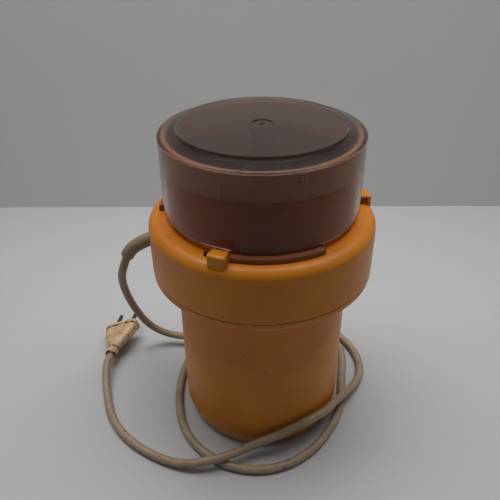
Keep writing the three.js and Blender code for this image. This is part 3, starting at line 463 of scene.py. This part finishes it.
def turned(profile, sides, bend=None):
    """A profile of (radius, height) in mm carried round Z, (r cos a, r sin a, h), at a number of
    even steps or at the angles given. bend(angle, radius, height) may give a change of radius and
    height at each point. A point on the axis becomes one shared pole with triangles round it.
    Also returns which point of the profile each vertex comes from."""
    angle = np.linspace(0, 2 * np.pi, sides, endpoint=False) if np.isscalar(sides) else sides
    count = len(angle)
    radius = np.repeat(profile[:, :1], count, axis=1)
    height = np.repeat(profile[:, 1:2], count, axis=1)
    theta = np.broadcast_to(angle, radius.shape)
    if bend is not None:
        change_radius, change_height = bend(theta, radius, height)
        radius, height = radius + change_radius, height + change_height
    points = np.stack([radius * np.cos(theta), radius * np.sin(theta), height], axis=-1)
    shared = np.arange(len(profile) * count)
    shared -= np.repeat(profile[:, 0] < 1e-6, count) * (shared % count)
    faces = shared[grid_faces(len(profile), count, wrap_rows=True)]
    first_pole, second_pole = faces[:, 0] == faces[:, 1], faces[:, 2] == faces[:, 3]
    quads = faces[~first_pole & ~second_pole]
    fans = np.vstack([faces[first_pole & ~second_pole][:, [0, 2, 3]],
                      faces[second_pole & ~first_pole][:, :3]])
    after = np.roll(profile, -1, axis=0)
    if np.sum(profile[:, 0] * after[:, 1] - after[:, 0] * profile[:, 1]) < 0:
        quads, fans = quads[:, ::-1], fans[:, ::-1]
    used, index = np.unique(np.concatenate([quads.ravel(), fans.ravel()]), return_inverse=True)
    quads, fans = index[:quads.size].reshape(-1, 4), index[quads.size:].reshape(-1, 3)
    return points.reshape(-1, 3)[used] * MM, [*quads, *fans], used // count


def turned_piece(name, corners, sides, body, bend=None):
    """A turned piece whose corners have fillets, with its exposed edges marked."""
    profile, exposed = rounded(corners)
    points, faces, rows = turned(profile, sides, bend)
    return make_piece(name, points, faces, body, wear_dirt_and_painted_highlight=exposed[rows])


orange_abs = plastic("orange_abs", (0.64, 0.225, 0.014), (0.56, 0.18, 0.010),
                     {"Speck": (0.09, 0.03, 0.01, 1), "Pale": (0.72, 0.42, 0.16, 1), "Cloud Scale": 22.0,
                      "Speck Scale": 130.0, "Speck Amount": 0.02, "Peel Scale": 1400.0, "Peel Depth": 0.05,
                      "Smoothness": 0.33}, gloss=0.3, wear_dirt_and_painted_highlight=True)
collar = turned_piece("collar", [
    (COLLAR_RADIUS, SEAM + 0.45, 0.4), (COLLAR_RADIUS, DECK, 9.0), (WELL_RADIUS, DECK, 0.8),
    (WELL_RADIUS, WELL_FLOOR, 1.5), (12.9, WELL_FLOOR, 0.5), (12.9, WELL_FLOOR + 19, 0.5),
    (9.3, WELL_FLOOR + 19, 0.3), (9.3, WELL_FLOOR - WALL, 0), (WELL_RADIUS + WALL, WELL_FLOOR - WALL, 0),
    (WELL_RADIUS + WALL, DECK - WALL, 0), (COLLAR_RADIUS - WALL, DECK - WALL, 6.4),
    (COLLAR_RADIUS - WALL, SEAM + 0.3, 0)], 256, "housing")
collar.data.materials.append(orange_abs)
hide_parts("upper_housing")


HOOK_MIDDLE, HOOK_FOOT, HOOK_TOP = 76.6, 176.0, 187.4


def hook_block(middle, half_angle, steps=25):
    """A hook's section in the (radius, height) plane carried a few degrees round Z. Towards each
    end it shrinks along a quarter circle: by up to 1.9 mm in radius and 1.1 mm in height."""
    side_pull, top_pull = 1.9, 1.1
    along_arc = np.sin(np.linspace(-1, 1, steps) * np.pi / 2)
    from_end = (1 - np.abs(along_arc)) * half_angle * HOOK_MIDDLE
    shrink = 1 - np.sqrt(1 - (1 - np.clip(from_end / side_pull, 0, 1))**2)
    rings = []
    for angle, share in zip(middle + half_angle * along_arc, shrink):
        side, top = side_pull * share, top_pull * share
        profile, exposed = rounded([
            (73.8 + side, HOOK_FOOT, 0), (79.5 - side, HOOK_FOOT, 0),
            (79.5 - side, HOOK_TOP - top, 1.9 - 0.8 * share), (70.9 + side, HOOK_TOP - top, 0.9),
            (70.9 + side, 184.8 + top, 0.2), (73.8 + side, 184.8 + top, 0.3)], 5)
        radius, height = profile.T
        rings.append(np.stack([radius * np.cos(angle), radius * np.sin(angle), height], axis=1) * MM)
    return *closed_tube(np.array(rings), flip=True), np.concatenate([np.tile(exposed, steps), [0, 0]])


for number in range(3):
    vertices, faces, exposed = hook_block(np.radians(-111 + 120 * number), np.radians(4.6))
    hook = make_piece(f"hook_{number + 1}", vertices, faces, "housing", wear_dirt_and_painted_highlight=exposed)
    hook.data.materials.append(orange_abs)

# ------------------------------------------------------------------ motor body
# The lower housing is a deep orange cup turned upside down over the motor: a plain round wall
# whose foot curves in, and a flange at the top that the collar sits on.
BODY_RADIUS, BODY_FOOT, BODY_TOP, FLANGE_RADIUS = 64.0, 2.0, 135.0, 80.7
motor_body = turned_piece("motor_body", [
    (60.9, BODY_FOOT, 0.6), (BODY_RADIUS, 12.0, 14.0), (BODY_RADIUS, BODY_TOP - 0.2, 2.0),
    (FLANGE_RADIUS, BODY_TOP, 1.8), (FLANGE_RADIUS, SEAM - 0.4, 0.4), (FLANGE_RADIUS - WALL, SEAM - 0.3, 0),
    (FLANGE_RADIUS - WALL, BODY_TOP + WALL, 0), (BODY_RADIUS - WALL, BODY_TOP + WALL, 0),
    (BODY_RADIUS - WALL, 12.0, 0), (58.4, BODY_FOOT, 0)], 256, "housing")
motor_body.data.materials.append(orange_abs)
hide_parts("lower_housing")

# ------------------------------------------------------------------ bowl
# The bowl lifts out of the well: an orange moulding with a rolled rim and a chimney in its
# middle for the drive, with a shallow U-shaped finger grip on its front.
BOWL_RADIUS, BOWL_BOTTOM, BOWL_RIM, CHIMNEY_TOP = 65.0, 149.3, 218.5, 195.9
BOWL_WALL, BOWL_FLOOR, CHIMNEY_BORE, CHIMNEY_RADIUS = 2.2, 151.9, 14.0, 16.2
GRIP_DEPTH, GRIP_HEIGHT, GRIP_HALF_WIDTH, GRIP_EDGE = 1.6, 12, 16, 1.2


def finger_grip(angle, radius, height):
    """Pushes the outer wall in by up to 1.6 mm inside a parabola that opens up to the rim, with a
    smooth step, 3 s^2 - 2 s^3, over the 1.2 mm inside its line."""
    across = BOWL_RADIUS * np.sin(angle + np.pi / 2)
    front = (np.cos(angle + np.pi / 2) > 0) & (radius > BOWL_RADIUS - 1.2) & (height < BOWL_RIM - 1)
    line = BOWL_RIM - GRIP_HEIGHT + GRIP_HEIGHT * (across / GRIP_HALF_WIDTH)**2
    share = np.clip((height - line) / GRIP_EDGE, 0, 1) * front
    return -GRIP_DEPTH * share * share * (3 - 2 * share), 0 * radius


wall_heights = (185, 190, 195, 198, 199.5, 201, 202.5, 204, 206, 208, 210, 212, 214, 216)
bowl = turned_piece("bowl_shell", [
    (CHIMNEY_BORE, BOWL_BOTTOM, 0), (BOWL_RADIUS, BOWL_BOTTOM, 3),
    *[(BOWL_RADIUS, z, 0) for z in wall_heights], (BOWL_RADIUS, BOWL_RIM, 1.0),
    (BOWL_RADIUS - BOWL_WALL, BOWL_RIM, 1.0), (BOWL_RADIUS - BOWL_WALL, BOWL_FLOOR, 3),
    (CHIMNEY_RADIUS, BOWL_FLOOR, 1), (CHIMNEY_RADIUS, CHIMNEY_TOP, 0.5),
    (CHIMNEY_BORE, CHIMNEY_TOP, 0.5)], 256, "housing", finger_grip)
bowl.data.materials.append(orange_abs)
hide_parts("bowl")

# ------------------------------------------------------------------ bowl liner
# A thin pressed steel cup lines the bowl, gone dull, with eight upright ribs in its wall.
LINER_RADIUS, LINER_WALL, LINER_BOTTOM, LINER_RIM, CUFF_TOP = 62.5, 0.8, 152.2, 217.0, 194.9
LINER_RIB = 0.9


def liner_ribs(angle, radius, height):
    """Eight ribs push the wall inwards by 0.9 exp(-(x / 0.9)^2) mm at x mm from their middles,
    fading out at the floor and the rim."""
    turn = np.angle(np.exp(1j * 8 * angle)) / 8
    ridge = np.exp(-(turn * LINER_RADIUS / LINER_RIB)**2)
    tall = np.clip((height - 158) / 8, 0, 1) * np.clip((216.5 - height) / 2, 0, 1)
    return -LINER_RIB * ridge * tall * (radius > 55), 0 * radius


liner_heights = (166, 176, 190, 204, 212, 214.5)
liner_inside = LINER_RADIUS - LINER_WALL
liner = turned_piece("steel_liner", [
    (16.5, LINER_BOTTOM, 0.5), (LINER_RADIUS, LINER_BOTTOM, 3),
    *[(LINER_RADIUS, z, 0) for z in liner_heights],
    (LINER_RADIUS, LINER_RIM, 0.3), (liner_inside, LINER_RIM, 0.3),
    *[(liner_inside, z, 0) for z in liner_heights[::-1]], (liner_inside, LINER_BOTTOM + LINER_WALL, 2.4),
    (17.3, LINER_BOTTOM + LINER_WALL, 0.4), (17.3, CUFF_TOP, 0.3), (16.5, CUFF_TOP, 0.3)],
    512, "housing", liner_ribs)


def dull_metal(name, colour, dark, roughness, stretch, grain=0.15):
    """Metal with a fine grain: noise, scaled by stretch along X, Y and Z, drives the colour, the
    roughness and a slight bump."""
    made, tree, shader = material(name)
    place, squeeze = tree.nodes.new("ShaderNodeTexCoord"), tree.nodes.new("ShaderNodeMapping")
    squeeze.inputs["Scale"].default_value = stretch
    noise = tree.nodes.new("ShaderNodeTexNoise")
    noise.inputs["Scale"].default_value = 1.0
    noise.inputs["Detail"].default_value = 4
    tone = colour_ramp(tree, noise.outputs["Fac"], dark, colour, 0.3, 0.7)
    rough = tree.nodes.new("ShaderNodeMapRange")
    rough.inputs["To Min"].default_value = roughness - 0.08
    rough.inputs["To Max"].default_value = roughness + 0.12
    bump = tree.nodes.new("ShaderNodeBump")
    bump.inputs["Strength"].default_value = grain
    bump.inputs["Distance"].default_value = 0.0001
    link = tree.links.new
    link(place.outputs["Object"], squeeze.inputs["Vector"])
    link(squeeze.outputs["Vector"], noise.inputs["Vector"])
    link(noise.outputs["Fac"], rough.inputs["Value"])
    link(noise.outputs["Fac"], bump.inputs["Height"])
    link(tone, shader.inputs["Base Color"])
    link(rough.outputs["Result"], shader.inputs["Roughness"])
    link(bump.outputs["Normal"], shader.inputs["Normal"])
    shader.inputs["Metallic"].default_value = 1.0
    return made


liner.data.materials.append(dull_metal(
    "dull_liner", (0.50, 0.46, 0.41), (0.36, 0.33, 0.29), 0.42, (60, 60, 1400)))
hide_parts("bowl_liner")

# ------------------------------------------------------------------ blade unit
# Two thin steel blades are riveted round a black hub, which drops over the chimney and is turned
# by the hexagon on the motor shaft.
HUB_RADIUS, HUB_BORE, HUB_FOOT, HUB_SHOULDER, HUB_TOP = 20.8, 18.2, 155.9, 203.9, 212.9
hub = turned_piece("hub_sleeve", [
    (HUB_BORE, HUB_FOOT, 0.3), (HUB_RADIUS, HUB_FOOT, 0.6), (HUB_RADIUS, HUB_SHOULDER, 1.2),
    (12.8, HUB_SHOULDER, 0.8), (12.8, HUB_TOP, 1.2), (0, HUB_TOP, 0), (0, 208.2, 0), (7.2, 208.2, 0),
    (7.2, 197.4, 0), (HUB_BORE, 197.4, 0.3)], 96, "blade_rotor")
black_plastic = plastic("black_nylon", (0.020, 0.018, 0.017), (0.032, 0.028, 0.026),
                        {"Speck": (0.10, 0.09, 0.08, 1), "Pale": (0.12, 0.11, 0.1, 1), "Cloud Scale": 45.0,
                         "Speck Amount": 0.02, "Peel Depth": 0.12, "Smoothness": 0.38}, wear_dirt_and_painted_highlight=True)
hub.data.materials.append(black_plastic)
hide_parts("blade_hub")
blade_steel = dull_metal("blade_steel", (0.62, 0.61, 0.59), (0.48, 0.47, 0.45), 0.24, (700, 90, 90))


EYE_INNER, EYE_OUTER, BLADE_THICKNESS, WING_ROOT, WING_TIP = 21.1, 25.1, 1.6, 22.6, 57.0


def blade_wing(turn, low, rows=40):
    """A wing swept back along the angle 0.75 s^2, for s from 0 at its root to 1 at its tip, that
    narrows from 16 mm to 4 mm. Its section is a flat bar with a long bevel to the leading edge."""
    share = np.linspace(0, 1, rows)[:, None]
    radius = WING_ROOT + (WING_TIP - WING_ROOT) * share
    upper = np.array([[-1, 0.1], [-0.35, 1], [0.9, 1], [1, 0.85]])
    loop = np.vstack([upper, upper[::-1] * [1, -1]])
    half = (8 - 6 * share) * (1 - 0.5 * np.clip((share - 0.93) / 0.07, 0, 1)**2)
    angle = turn + 0.75 * share**2 + half * loop[None, :, 0] / radius
    height = low + BLADE_THICKNESS / 2 * (1 + loop[None, :, 1]) + 0 * share
    rings = np.stack([radius * np.cos(angle), radius * np.sin(angle), height], axis=-1) * MM
    return closed_tube(rings, flip=True)


for word, low, turn in (("lower", 157.9, 0.4), ("upper", 175.9, 0.4 + np.pi / 2)):
    high = low + BLADE_THICKNESS
    ring = turned_piece(f"{word}_blade_ring", [
        (EYE_INNER, low, 0.2), (EYE_OUTER, low, 0.3), (EYE_OUTER, high, 0.3), (EYE_INNER, high, 0.2)],
        96, "blade_rotor")
    ring.data.materials.append(blade_steel)
    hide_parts(f"{word}_blade")
    for wing_number, half_turn in ((1, 0.0), (2, np.pi)):
        vertices, faces = blade_wing(turn + half_turn, low)
        wing = make_piece(f"{word}_wing_{wing_number}", vertices, faces, "blade_rotor")
        wing.data.materials.append(blade_steel)

# ------------------------------------------------------------------ lid
# A drum moulded in smoke-brown acrylic, polished and 2.8 mm thick: a straight wall, a round
# shoulder, a gentle slope, then a step up to a flat disc with a gate mark. Three lugs lock it.
LID_RADIUS, LID_INNER, LID_EDGE, SHOULDER, LID_TOP = 69.0, 66.2, 186.0, 239.7, 243.9
DISC_RADIUS, SLOPE_END, GATE_RADIUS = 57.2, 61.8, 7.3
LUG_REACH, LUG_TOP, LUG_BOTTOM, WALL_FOOT = 73.0, 184.4, 180.8, 190
lug_start, lug_span = np.radians([-106.0, 49.0])

upper_profile, _ = rounded([
    (0, LID_TOP - 0.7, 0), (1.1, LID_TOP - 0.7, 0.1), (1.4, LID_TOP - 0.2, 0.1), (1.8, LID_TOP - 0.2, 0.1),
    (2.1, LID_TOP - 0.7, 0.1), (6.9, LID_TOP - 0.7, 0.15), (GATE_RADIUS, LID_TOP, 0.2),
    (DISC_RADIUS, LID_TOP, 0.35), (58.4, SHOULDER + 1.8, 0.4), (SLOPE_END, SHOULDER + 1.25, 0),
    (66.5, SHOULDER + 0.4, 0), (LID_RADIUS, SHOULDER - 0.4, 1.1), (LID_RADIUS, WALL_FOOT, 0),
    (LID_INNER, WALL_FOOT, 0), (LID_INNER, SHOULDER - 2.7, 0.8), (57.2, SHOULDER - 0.8, 0.6),
    (55.8, LID_TOP - 2.8, 0.6), (0, LID_TOP - 2.8, 0)])
# The wall's lower edge between the lugs, and the section that takes its place along a lug.
plain_part = np.array([
    [69, 187.4], [69, 187.2], [69, 187.0], [69, 186.8], [69, 186.6], [69, 186.45], [68.95, 186.25],
    [68.8, 186.1], [68.6, 186.03], [68.3, LID_EDGE], [67, LID_EDGE], [66.5, LID_EDGE],
    [LID_INNER, 186.3], [LID_INNER, 187.4]])
lug_part = np.array([
    [69, 187.4], [69, 184.6], [69.05, 184.45], [69.2, LUG_TOP], [72.7, LUG_TOP], [72.85, 184.35],
    [72.95, 184.2], [LUG_REACH, 184.0], [LUG_REACH, 181.1], [72.9, 180.9], [72.7, LUG_BOTTOM],
    [66.6, LUG_BOTTOM], [LID_INNER, 181.2], [LID_INNER, 187.4]])
at_foot = (upper_profile[:, 0] == LID_RADIUS) & (upper_profile[:, 1] == WALL_FOOT)
outer_end = int(np.flatnonzero(at_foot)[0]) + 1
lid_profile = np.vstack([upper_profile[:outer_end], plain_part, upper_profile[outer_end:]])
lug_shift = np.zeros_like(lid_profile)
lug_shift[outer_end:outer_end + len(lug_part)] = lug_part - plain_part
step = np.radians(0.15)
lug_ends = np.concatenate([lug_start + turn + np.array([-step, step, lug_span - step, lug_span + step])
                           for turn in np.radians([0, 120, 240])]) % (2 * np.pi)
lid_angles = np.unique(np.concatenate([np.linspace(0, 2 * np.pi, 240, endpoint=False), lug_ends]))


def lid_lugs(angle, radius, height):
    """Between the ends of each lug the lower edge takes the lug's own section."""
    within = (angle - lug_start) % np.radians(120) < lug_span
    return lug_shift[:, :1] * within, lug_shift[:, 1:] * within


def lid_tint_and_painted_shade(points):
    """How dark the smoke is made at each point, and how dull the skin is. The slope round the disc
    and the gate mark's edge are painted darkest, as painted shade; the disc is between, a deeper
    smoke tint; and the wall is lightest."""
    reach, height = np.hypot(points[:, 0], points[:, 1]) / MM, points[:, 2] / MM
    gate_rim = (reach > GATE_RADIUS - 0.5) & (reach < GATE_RADIUS + 0.1) & (height > LID_TOP - 0.8)
    gate = (reach < GATE_RADIUS + 0.7) & (height > LID_TOP - 0.8)
    slope = (height > SHOULDER + 1.2) & (reach > DISC_RADIUS - 0.1) & (reach < SLOPE_END + 0.1)
    disc = (height > LID_TOP - 3.2) & (reach < DISC_RADIUS + 0.2)
    tint_and_painted_shade = np.select([gate_rim, gate, slope, disc], [1.0, 0.3, 0.85, 0.3], 0.0)
    return tint_and_painted_shade, np.select([gate, slope, disc], [0.05, 0.15, 0.05], 0.0)


vertices, faces, _ = turned(lid_profile, lid_angles, lid_lugs)
lid = make_piece("smoky_lid", vertices, faces, "lid_shell")
for label, values in zip(("tint_and_painted_shade", "dull"), lid_tint_and_painted_shade(vertices)):
    lid.data.attributes.new(label, "FLOAT", "POINT").data.foreach_set("value", values)
smoky, tree, shader = material("smoky_acrylic")
# This attribute darkens the smoke colour: painted shade on the slope and round the gate mark, a deeper smoke
# tint on the disc.
deep = tree.nodes.new("ShaderNodeAttribute")
deep.attribute_name = "tint_and_painted_shade"
smoke = colour_ramp(tree, deep.outputs["Fac"], (0.58, 0.42, 0.34), (0.07, 0.06, 0.055))
tree.links.new(smoke, shader.inputs["Base Color"])
shader.inputs["IOR"].default_value = 1.33
shader.inputs["Transmission Weight"].default_value = 0.97
rough = tree.nodes.new("ShaderNodeMapRange")
rough.inputs["From Min"].default_value, rough.inputs["From Max"].default_value = 0.35, 0.75
rough.inputs["To Min"].default_value, rough.inputs["To Max"].default_value = 0.02, 0.10
tree.links.new(object_noise(tree, 45, 6), rough.inputs["Value"])
dull, total = tree.nodes.new("ShaderNodeAttribute"), tree.nodes.new("ShaderNodeMath")
dull.attribute_name = "dull"
tree.links.new(dull.outputs["Fac"], total.inputs[0])
tree.links.new(rough.outputs["Result"], total.inputs[1])
tree.links.new(total.outputs["Value"], shader.inputs["Roughness"])
through = tree.nodes.new("ShaderNodeBsdfTransparent")
tree.links.new(smoke, through.inputs["Color"])
rays = tree.nodes.new("ShaderNodeLightPath")
either = tree.nodes.new("ShaderNodeMixShader")
tree.links.new(rays.outputs["Is Shadow Ray"], either.inputs["Fac"])
tree.links.new(shader.outputs["BSDF"], either.inputs[1])
tree.links.new(through.outputs["BSDF"], either.inputs[2])
tree.links.new(either.outputs["Shader"], tree.nodes["Material Output"].inputs["Surface"])
lid.data.materials.append(smoky)
# The lugs get an opaque dark orange-brown in place of the smoky acrylic: painted shade of the dim gap over
# the collar's deck.
lid.data.materials.append(plastic("lug_painted_shade", (0.24, 0.075, 0.015), (0.17, 0.050, 0.010),
                                  {"Cloud Scale": 50.0, "Speck Amount": 0.0, "Peel Depth": 0.02,
                                   "Smoothness": 0.3}))
# The faces of the lugs are those that lie low on the lid and reach past its wall.
corner, first_corner = np.empty(len(lid.data.loops), np.int32), np.empty(len(lid.data.polygons), np.int32)
lid.data.loops.foreach_get("vertex_index", corner)
lid.data.polygons.foreach_get("loop_start", first_corner)
face_top = np.maximum.reduceat(vertices[corner, 2], first_corner)
face_reach = np.maximum.reduceat(np.hypot(vertices[corner, 0], vertices[corner, 1]), first_corner)
on_lug = (face_top < (LID_EDGE + 1) * MM) & (face_reach > (LID_RADIUS + 0.05) * MM)
lid.data.polygons.foreach_set("material_index", on_lug.astype(np.int32))
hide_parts("lid")

# ------------------------------------------------------------------ lid ring
# A deep ring in cream plastic stands just inside the lid's wall and keeps food off it. Eight thin
# upright ribs on its outside centre it in the lid.
RING_OUTSIDE, RING_INSIDE, RING_BOTTOM, RING_TOP = 65.6, 62.4, 218.8, 236.6
RIB_HEIGHT, RIB_HALF_WIDTH = 0.4, 0.6


def ring_ribs(angle, radius, height):
    """Eight ribs stand 0.4 exp(-(x / 0.6)^4) mm proud of the outer wall at x mm from their middles."""
    turn = np.angle(np.exp(1j * 8 * (angle + np.pi / 8))) / 8
    ridge = np.exp(-(turn * RING_OUTSIDE / RIB_HALF_WIDTH)**4)
    return RIB_HEIGHT * ridge * (radius > RING_OUTSIDE - 0.05), 0 * radius


lid_ring = turned_piece("lid_ring_band", [
    (RING_INSIDE, RING_BOTTOM, 0.4), (RING_OUTSIDE, RING_BOTTOM, 0.5), (RING_OUTSIDE, RING_TOP, 0.5),
    (RING_INSIDE, RING_TOP, 0.4)], 640, "lid_shell", ring_ribs)
# The Pale colour here is a painted highlight, laid on the ribs below.
lid_ring.data.materials.append(plastic(
    "cream_styrene", (0.70, 0.60, 0.49), (0.58, 0.48, 0.37),
    {"Speck": (0.16, 0.10, 0.06, 1), "Pale": (0.8, 0.72, 0.6, 1), "Cloud Scale": 28.0,
     "Speck Scale": 170.0, "Speck Amount": 0.04, "Peel Depth": 0.05, "Smoothness": 0.4}, wear_dirt_and_painted_highlight=True))
# The ribs are painted paler than the wall between them, as a painted highlight along each rib.
places = np.empty(3 * len(lid_ring.data.vertices), np.float32)
lid_ring.data.vertices.foreach_get("co", places)
rib_painted_highlight, _ = ring_ribs(np.arctan2(places[1::3], places[::3]), RING_OUTSIDE, 0)
lid_ring.data.attributes["wear_dirt_and_painted_highlight"].data.foreach_set("value", 1.4 / RIB_HEIGHT * rib_painted_highlight)
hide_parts("lid_ring")

# ------------------------------------------------------------------ lid stem
# A solid dark acrylic rod under the middle of the lid holds the blade unit down while it turns.
# Its wider head is cemented to the underside of the lid's disc.
STEM_RADIUS, STEM_HEAD, STEM_FOOT, STEM_TOP = 7.4, 9.4, 213.5, 240.9
stem = turned_piece("stem_rod", [
    (0, STEM_FOOT, 0), (STEM_RADIUS, STEM_FOOT, 1.0), (STEM_RADIUS, 238.6, 0), (STEM_HEAD, 238.8, 0.3),
    (STEM_HEAD, STEM_TOP, 0.3), (0, STEM_TOP, 0)], 64, "lid_carrier")
stem.data.materials.append(plastic(
    "stem_acrylic", (0.030, 0.024, 0.021), (0.05, 0.04, 0.035),
    {"Cloud Scale": 60.0, "Speck Amount": 0.0, "Peel Depth": 0.1, "Smoothness": 0.25}))
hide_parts("lid_stem")

# ------------------------------------------------------------------ feet
# Four black rubber buttons are pressed into the base plate and keep the chopper from walking
# over the table. They are rough, and paler at their edges.
rubber = plastic("foot_rubber", (0.022, 0.021, 0.02), (0.04, 0.038, 0.035),
                 {"Speck": (0.12, 0.11, 0.1, 1), "Pale": (0.08, 0.08, 0.08, 1), "Speck Amount": 0.06,
                  "Speck Scale": 500.0, "Peel Scale": 2500.0, "Peel Depth": 0.5,
                  "Smoothness": 0.75}, wear_dirt_and_painted_highlight=True)
FEET_RING, FOOT_RADIUS, FOOT_HEIGHT = 48.0, 6.5, 2.3
profile, exposed = rounded([(0, 0, 0), (5.9, 0, 0.8), (FOOT_RADIUS, 1.2, 0.5), (FOOT_RADIUS, FOOT_HEIGHT, 0),
                            (0, FOOT_HEIGHT, 0)])
vertices, faces, rows = turned(profile, 40)
for number in range(4):
    angle = np.pi / 4 + number * np.pi / 2
    centre = np.array([np.cos(angle), np.sin(angle), 0]) * FEET_RING * MM
    foot = make_piece(f"foot_{number + 1}", vertices + centre, faces, "housing",
                      wear_dirt_and_painted_highlight=exposed[rows])
    foot.data.materials.append(rubber)
    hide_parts(f"rubber_foot_{number + 1}")

# ------------------------------------------------------------------ switch spring
# A steel coil of three turns lifts the switch pin again when the lid's lug leaves it. It sits
# inside the collar. The real coil flattens as the pin goes down; here it is drawn at one height.
# The wire's middle is the helix (r cos t, r sin t, z0 + h t / T), with t from 0 to T.
PIN_RING, PIN_ANGLE, SPRING_FOOT = 71.1, np.radians(-119.5), 170.2
COIL_RADIUS, COIL_HEIGHT, WIRE_RADIUS = 2.1, 3.4, 0.28
spring_foot = np.array([PIN_RING * np.cos(PIN_ANGLE), PIN_RING * np.sin(PIN_ANGLE), SPRING_FOOT]) * MM
turn = np.linspace(0, 6 * np.pi, 121)
coil = np.stack([COIL_RADIUS * np.cos(turn), COIL_RADIUS * np.sin(turn),
                 0.3 + COIL_HEIGHT * turn / turn[-1]], axis=1) * MM
vertices, faces = along(spring_foot + coil, WIRE_RADIUS * MM, 8, spring_foot)
switch_spring = make_piece("switch_spring", vertices, faces, "housing")
switch_spring.data.materials.append(blade_steel)
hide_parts("pin_spring")
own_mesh(switch_spring)

# ------------------------------------------------------------------ pieces kept from the CAD model
# The base plate, the screws, the motor and the safety switch keep the shapes they have there; each
# gets the finish of what it is made of.
laminated = dull_metal("laminated_steel", (0.30, 0.29, 0.28), (0.16, 0.15, 0.15), 0.5, (80, 80, 2400), 0.4)
finishes = {
    "black_rubber": rubber,
    "bright_steel": blade_steel,
    "black_plastic": plastic(
        "black_phenolic", (0.022, 0.020, 0.019), (0.035, 0.031, 0.028),
        {"Cloud Scale": 40.0, "Speck Amount": 0.03, "Peel Depth": 0.2, "Smoothness": 0.5}),
    "grey_plastic": plastic(
        "grey_nylon", (0.22, 0.21, 0.20), (0.17, 0.16, 0.15), {"Peel Depth": 0.15, "Smoothness": 0.5}),
    "carbon": plastic(
        "pressed_carbon", (0.016, 0.016, 0.017), (0.03, 0.03, 0.03),
        {"Speck Scale": 900.0, "Speck Amount": 0.1, "Peel Depth": 0.4, "Smoothness": 0.6}),
    "dull_steel": dull_metal("plated_steel", (0.42, 0.41, 0.39), (0.30, 0.29, 0.28), 0.4, (300, 300, 300)),
    "copper": dull_metal("enamelled_copper", (0.50, 0.20, 0.08), (0.26, 0.09, 0.035), 0.35,
                         (500, 500, 1800), 0.5),
    "bronze": dull_metal("sintered_bronze", (0.36, 0.24, 0.11), (0.24, 0.15, 0.07), 0.5, (900, 900, 900)),
    "brass": dull_metal("pressed_brass", (0.55, 0.38, 0.14), (0.40, 0.27, 0.10), 0.35, (250, 250, 250)),
}
slots = {row["node"]: row["material_slot"] for row in frame["record"]["subparts"]}
for name, node in frame["nodes"].items():
    if slots[name] in finishes:
        stacked = name in ("stator_core", "armature_core")
        node.data.materials.clear()
        node.data.materials.append(laminated if stacked else finishes[slots[name]])

# ------------------------------------------------------------------ table, wall and light
# A plain pale table with a plain wall behind it, under one broad soft light and a sky that is
# brighter over the wall than in front of it.
def stage_quad(name, corners, colour, roughness, one_sided=False):
    """A flat quad outside the object, in one pale colour with a faint drift. One_sided leaves its
    back clear, so that the object is seen from behind it too."""
    mesh = bpy.data.meshes.new(name)
    mesh.from_pydata(corners, [], [(0, 1, 2, 3)])
    made = bpy.data.objects.new(name, mesh)
    bpy.context.scene.collection.objects.link(made)
    surface, tree, shader = material(name)
    tone = colour_ramp(tree, object_noise(tree, 9, 8), 0.97 * np.array(colour), colour)
    tree.links.new(tone, shader.inputs["Base Color"])
    shader.inputs["Roughness"].default_value = roughness
    if one_sided:
        clear = tree.nodes.new("ShaderNodeBsdfTransparent")
        mix = tree.nodes.new("ShaderNodeMixShader")
        side = tree.nodes.new("ShaderNodeNewGeometry")
        tree.links.new(side.outputs["Backfacing"], mix.inputs["Fac"])
        tree.links.new(shader.outputs["BSDF"], mix.inputs[1])
        tree.links.new(clear.outputs["BSDF"], mix.inputs[2])
        tree.links.new(mix.outputs["Shader"], tree.nodes["Material Output"].inputs["Surface"])
    made.data.materials.append(surface)
    return made


SIDE, BACK, TALL = 3, 0.345, 2.5
stage_quad("table", [(-SIDE, -SIDE, 0), (SIDE, -SIDE, 0), (SIDE, SIDE, 0), (-SIDE, SIDE, 0)],
           (0.44, 0.445, 0.445), 0.5)
stage_quad("wall", [(-SIDE, BACK, 0), (SIDE, BACK, 0), (SIDE, BACK, TALL), (-SIDE, BACK, TALL)],
           (0.65, 0.66, 0.66), 0.6, one_sided=True)

sky = bpy.data.worlds.new("sky")
sky.use_nodes = True
tree = sky.node_tree
direction, split = tree.nodes.new("ShaderNodeTexCoord"), tree.nodes.new("ShaderNodeSeparateXYZ")
fall, background = tree.nodes.new("ShaderNodeMapRange"), tree.nodes["Background"]
fall.interpolation_type = "SMOOTHSTEP"
fall.inputs["From Min"].default_value, fall.inputs["From Max"].default_value = -0.9, 0.35
fall.inputs["To Min"].default_value, fall.inputs["To Max"].default_value = 0.04, 0.42
tree.links.new(direction.outputs["Generated"], split.inputs["Vector"])
tree.links.new(split.outputs["Y"], fall.inputs["Value"])
tree.links.new(fall.outputs["Result"], background.inputs["Strength"])
background.inputs["Color"].default_value = (1.0, 1.0, 1.0, 1)
bpy.context.scene.world = sky
lamp = bpy.data.lights.new("ceiling", "AREA")
lamp.shape, lamp.size, lamp.size_y, lamp.energy = "RECTANGLE", 1.3, 0.5, 4.4
lamp.spread = np.radians(110)
ceiling = bpy.data.objects.new("ceiling", lamp)
bpy.context.scene.collection.objects.link(ceiling)
ceiling.location = (0.0, 0.12, 0.95)
bpy.context.scene.view_settings.view_transform = "Standard"
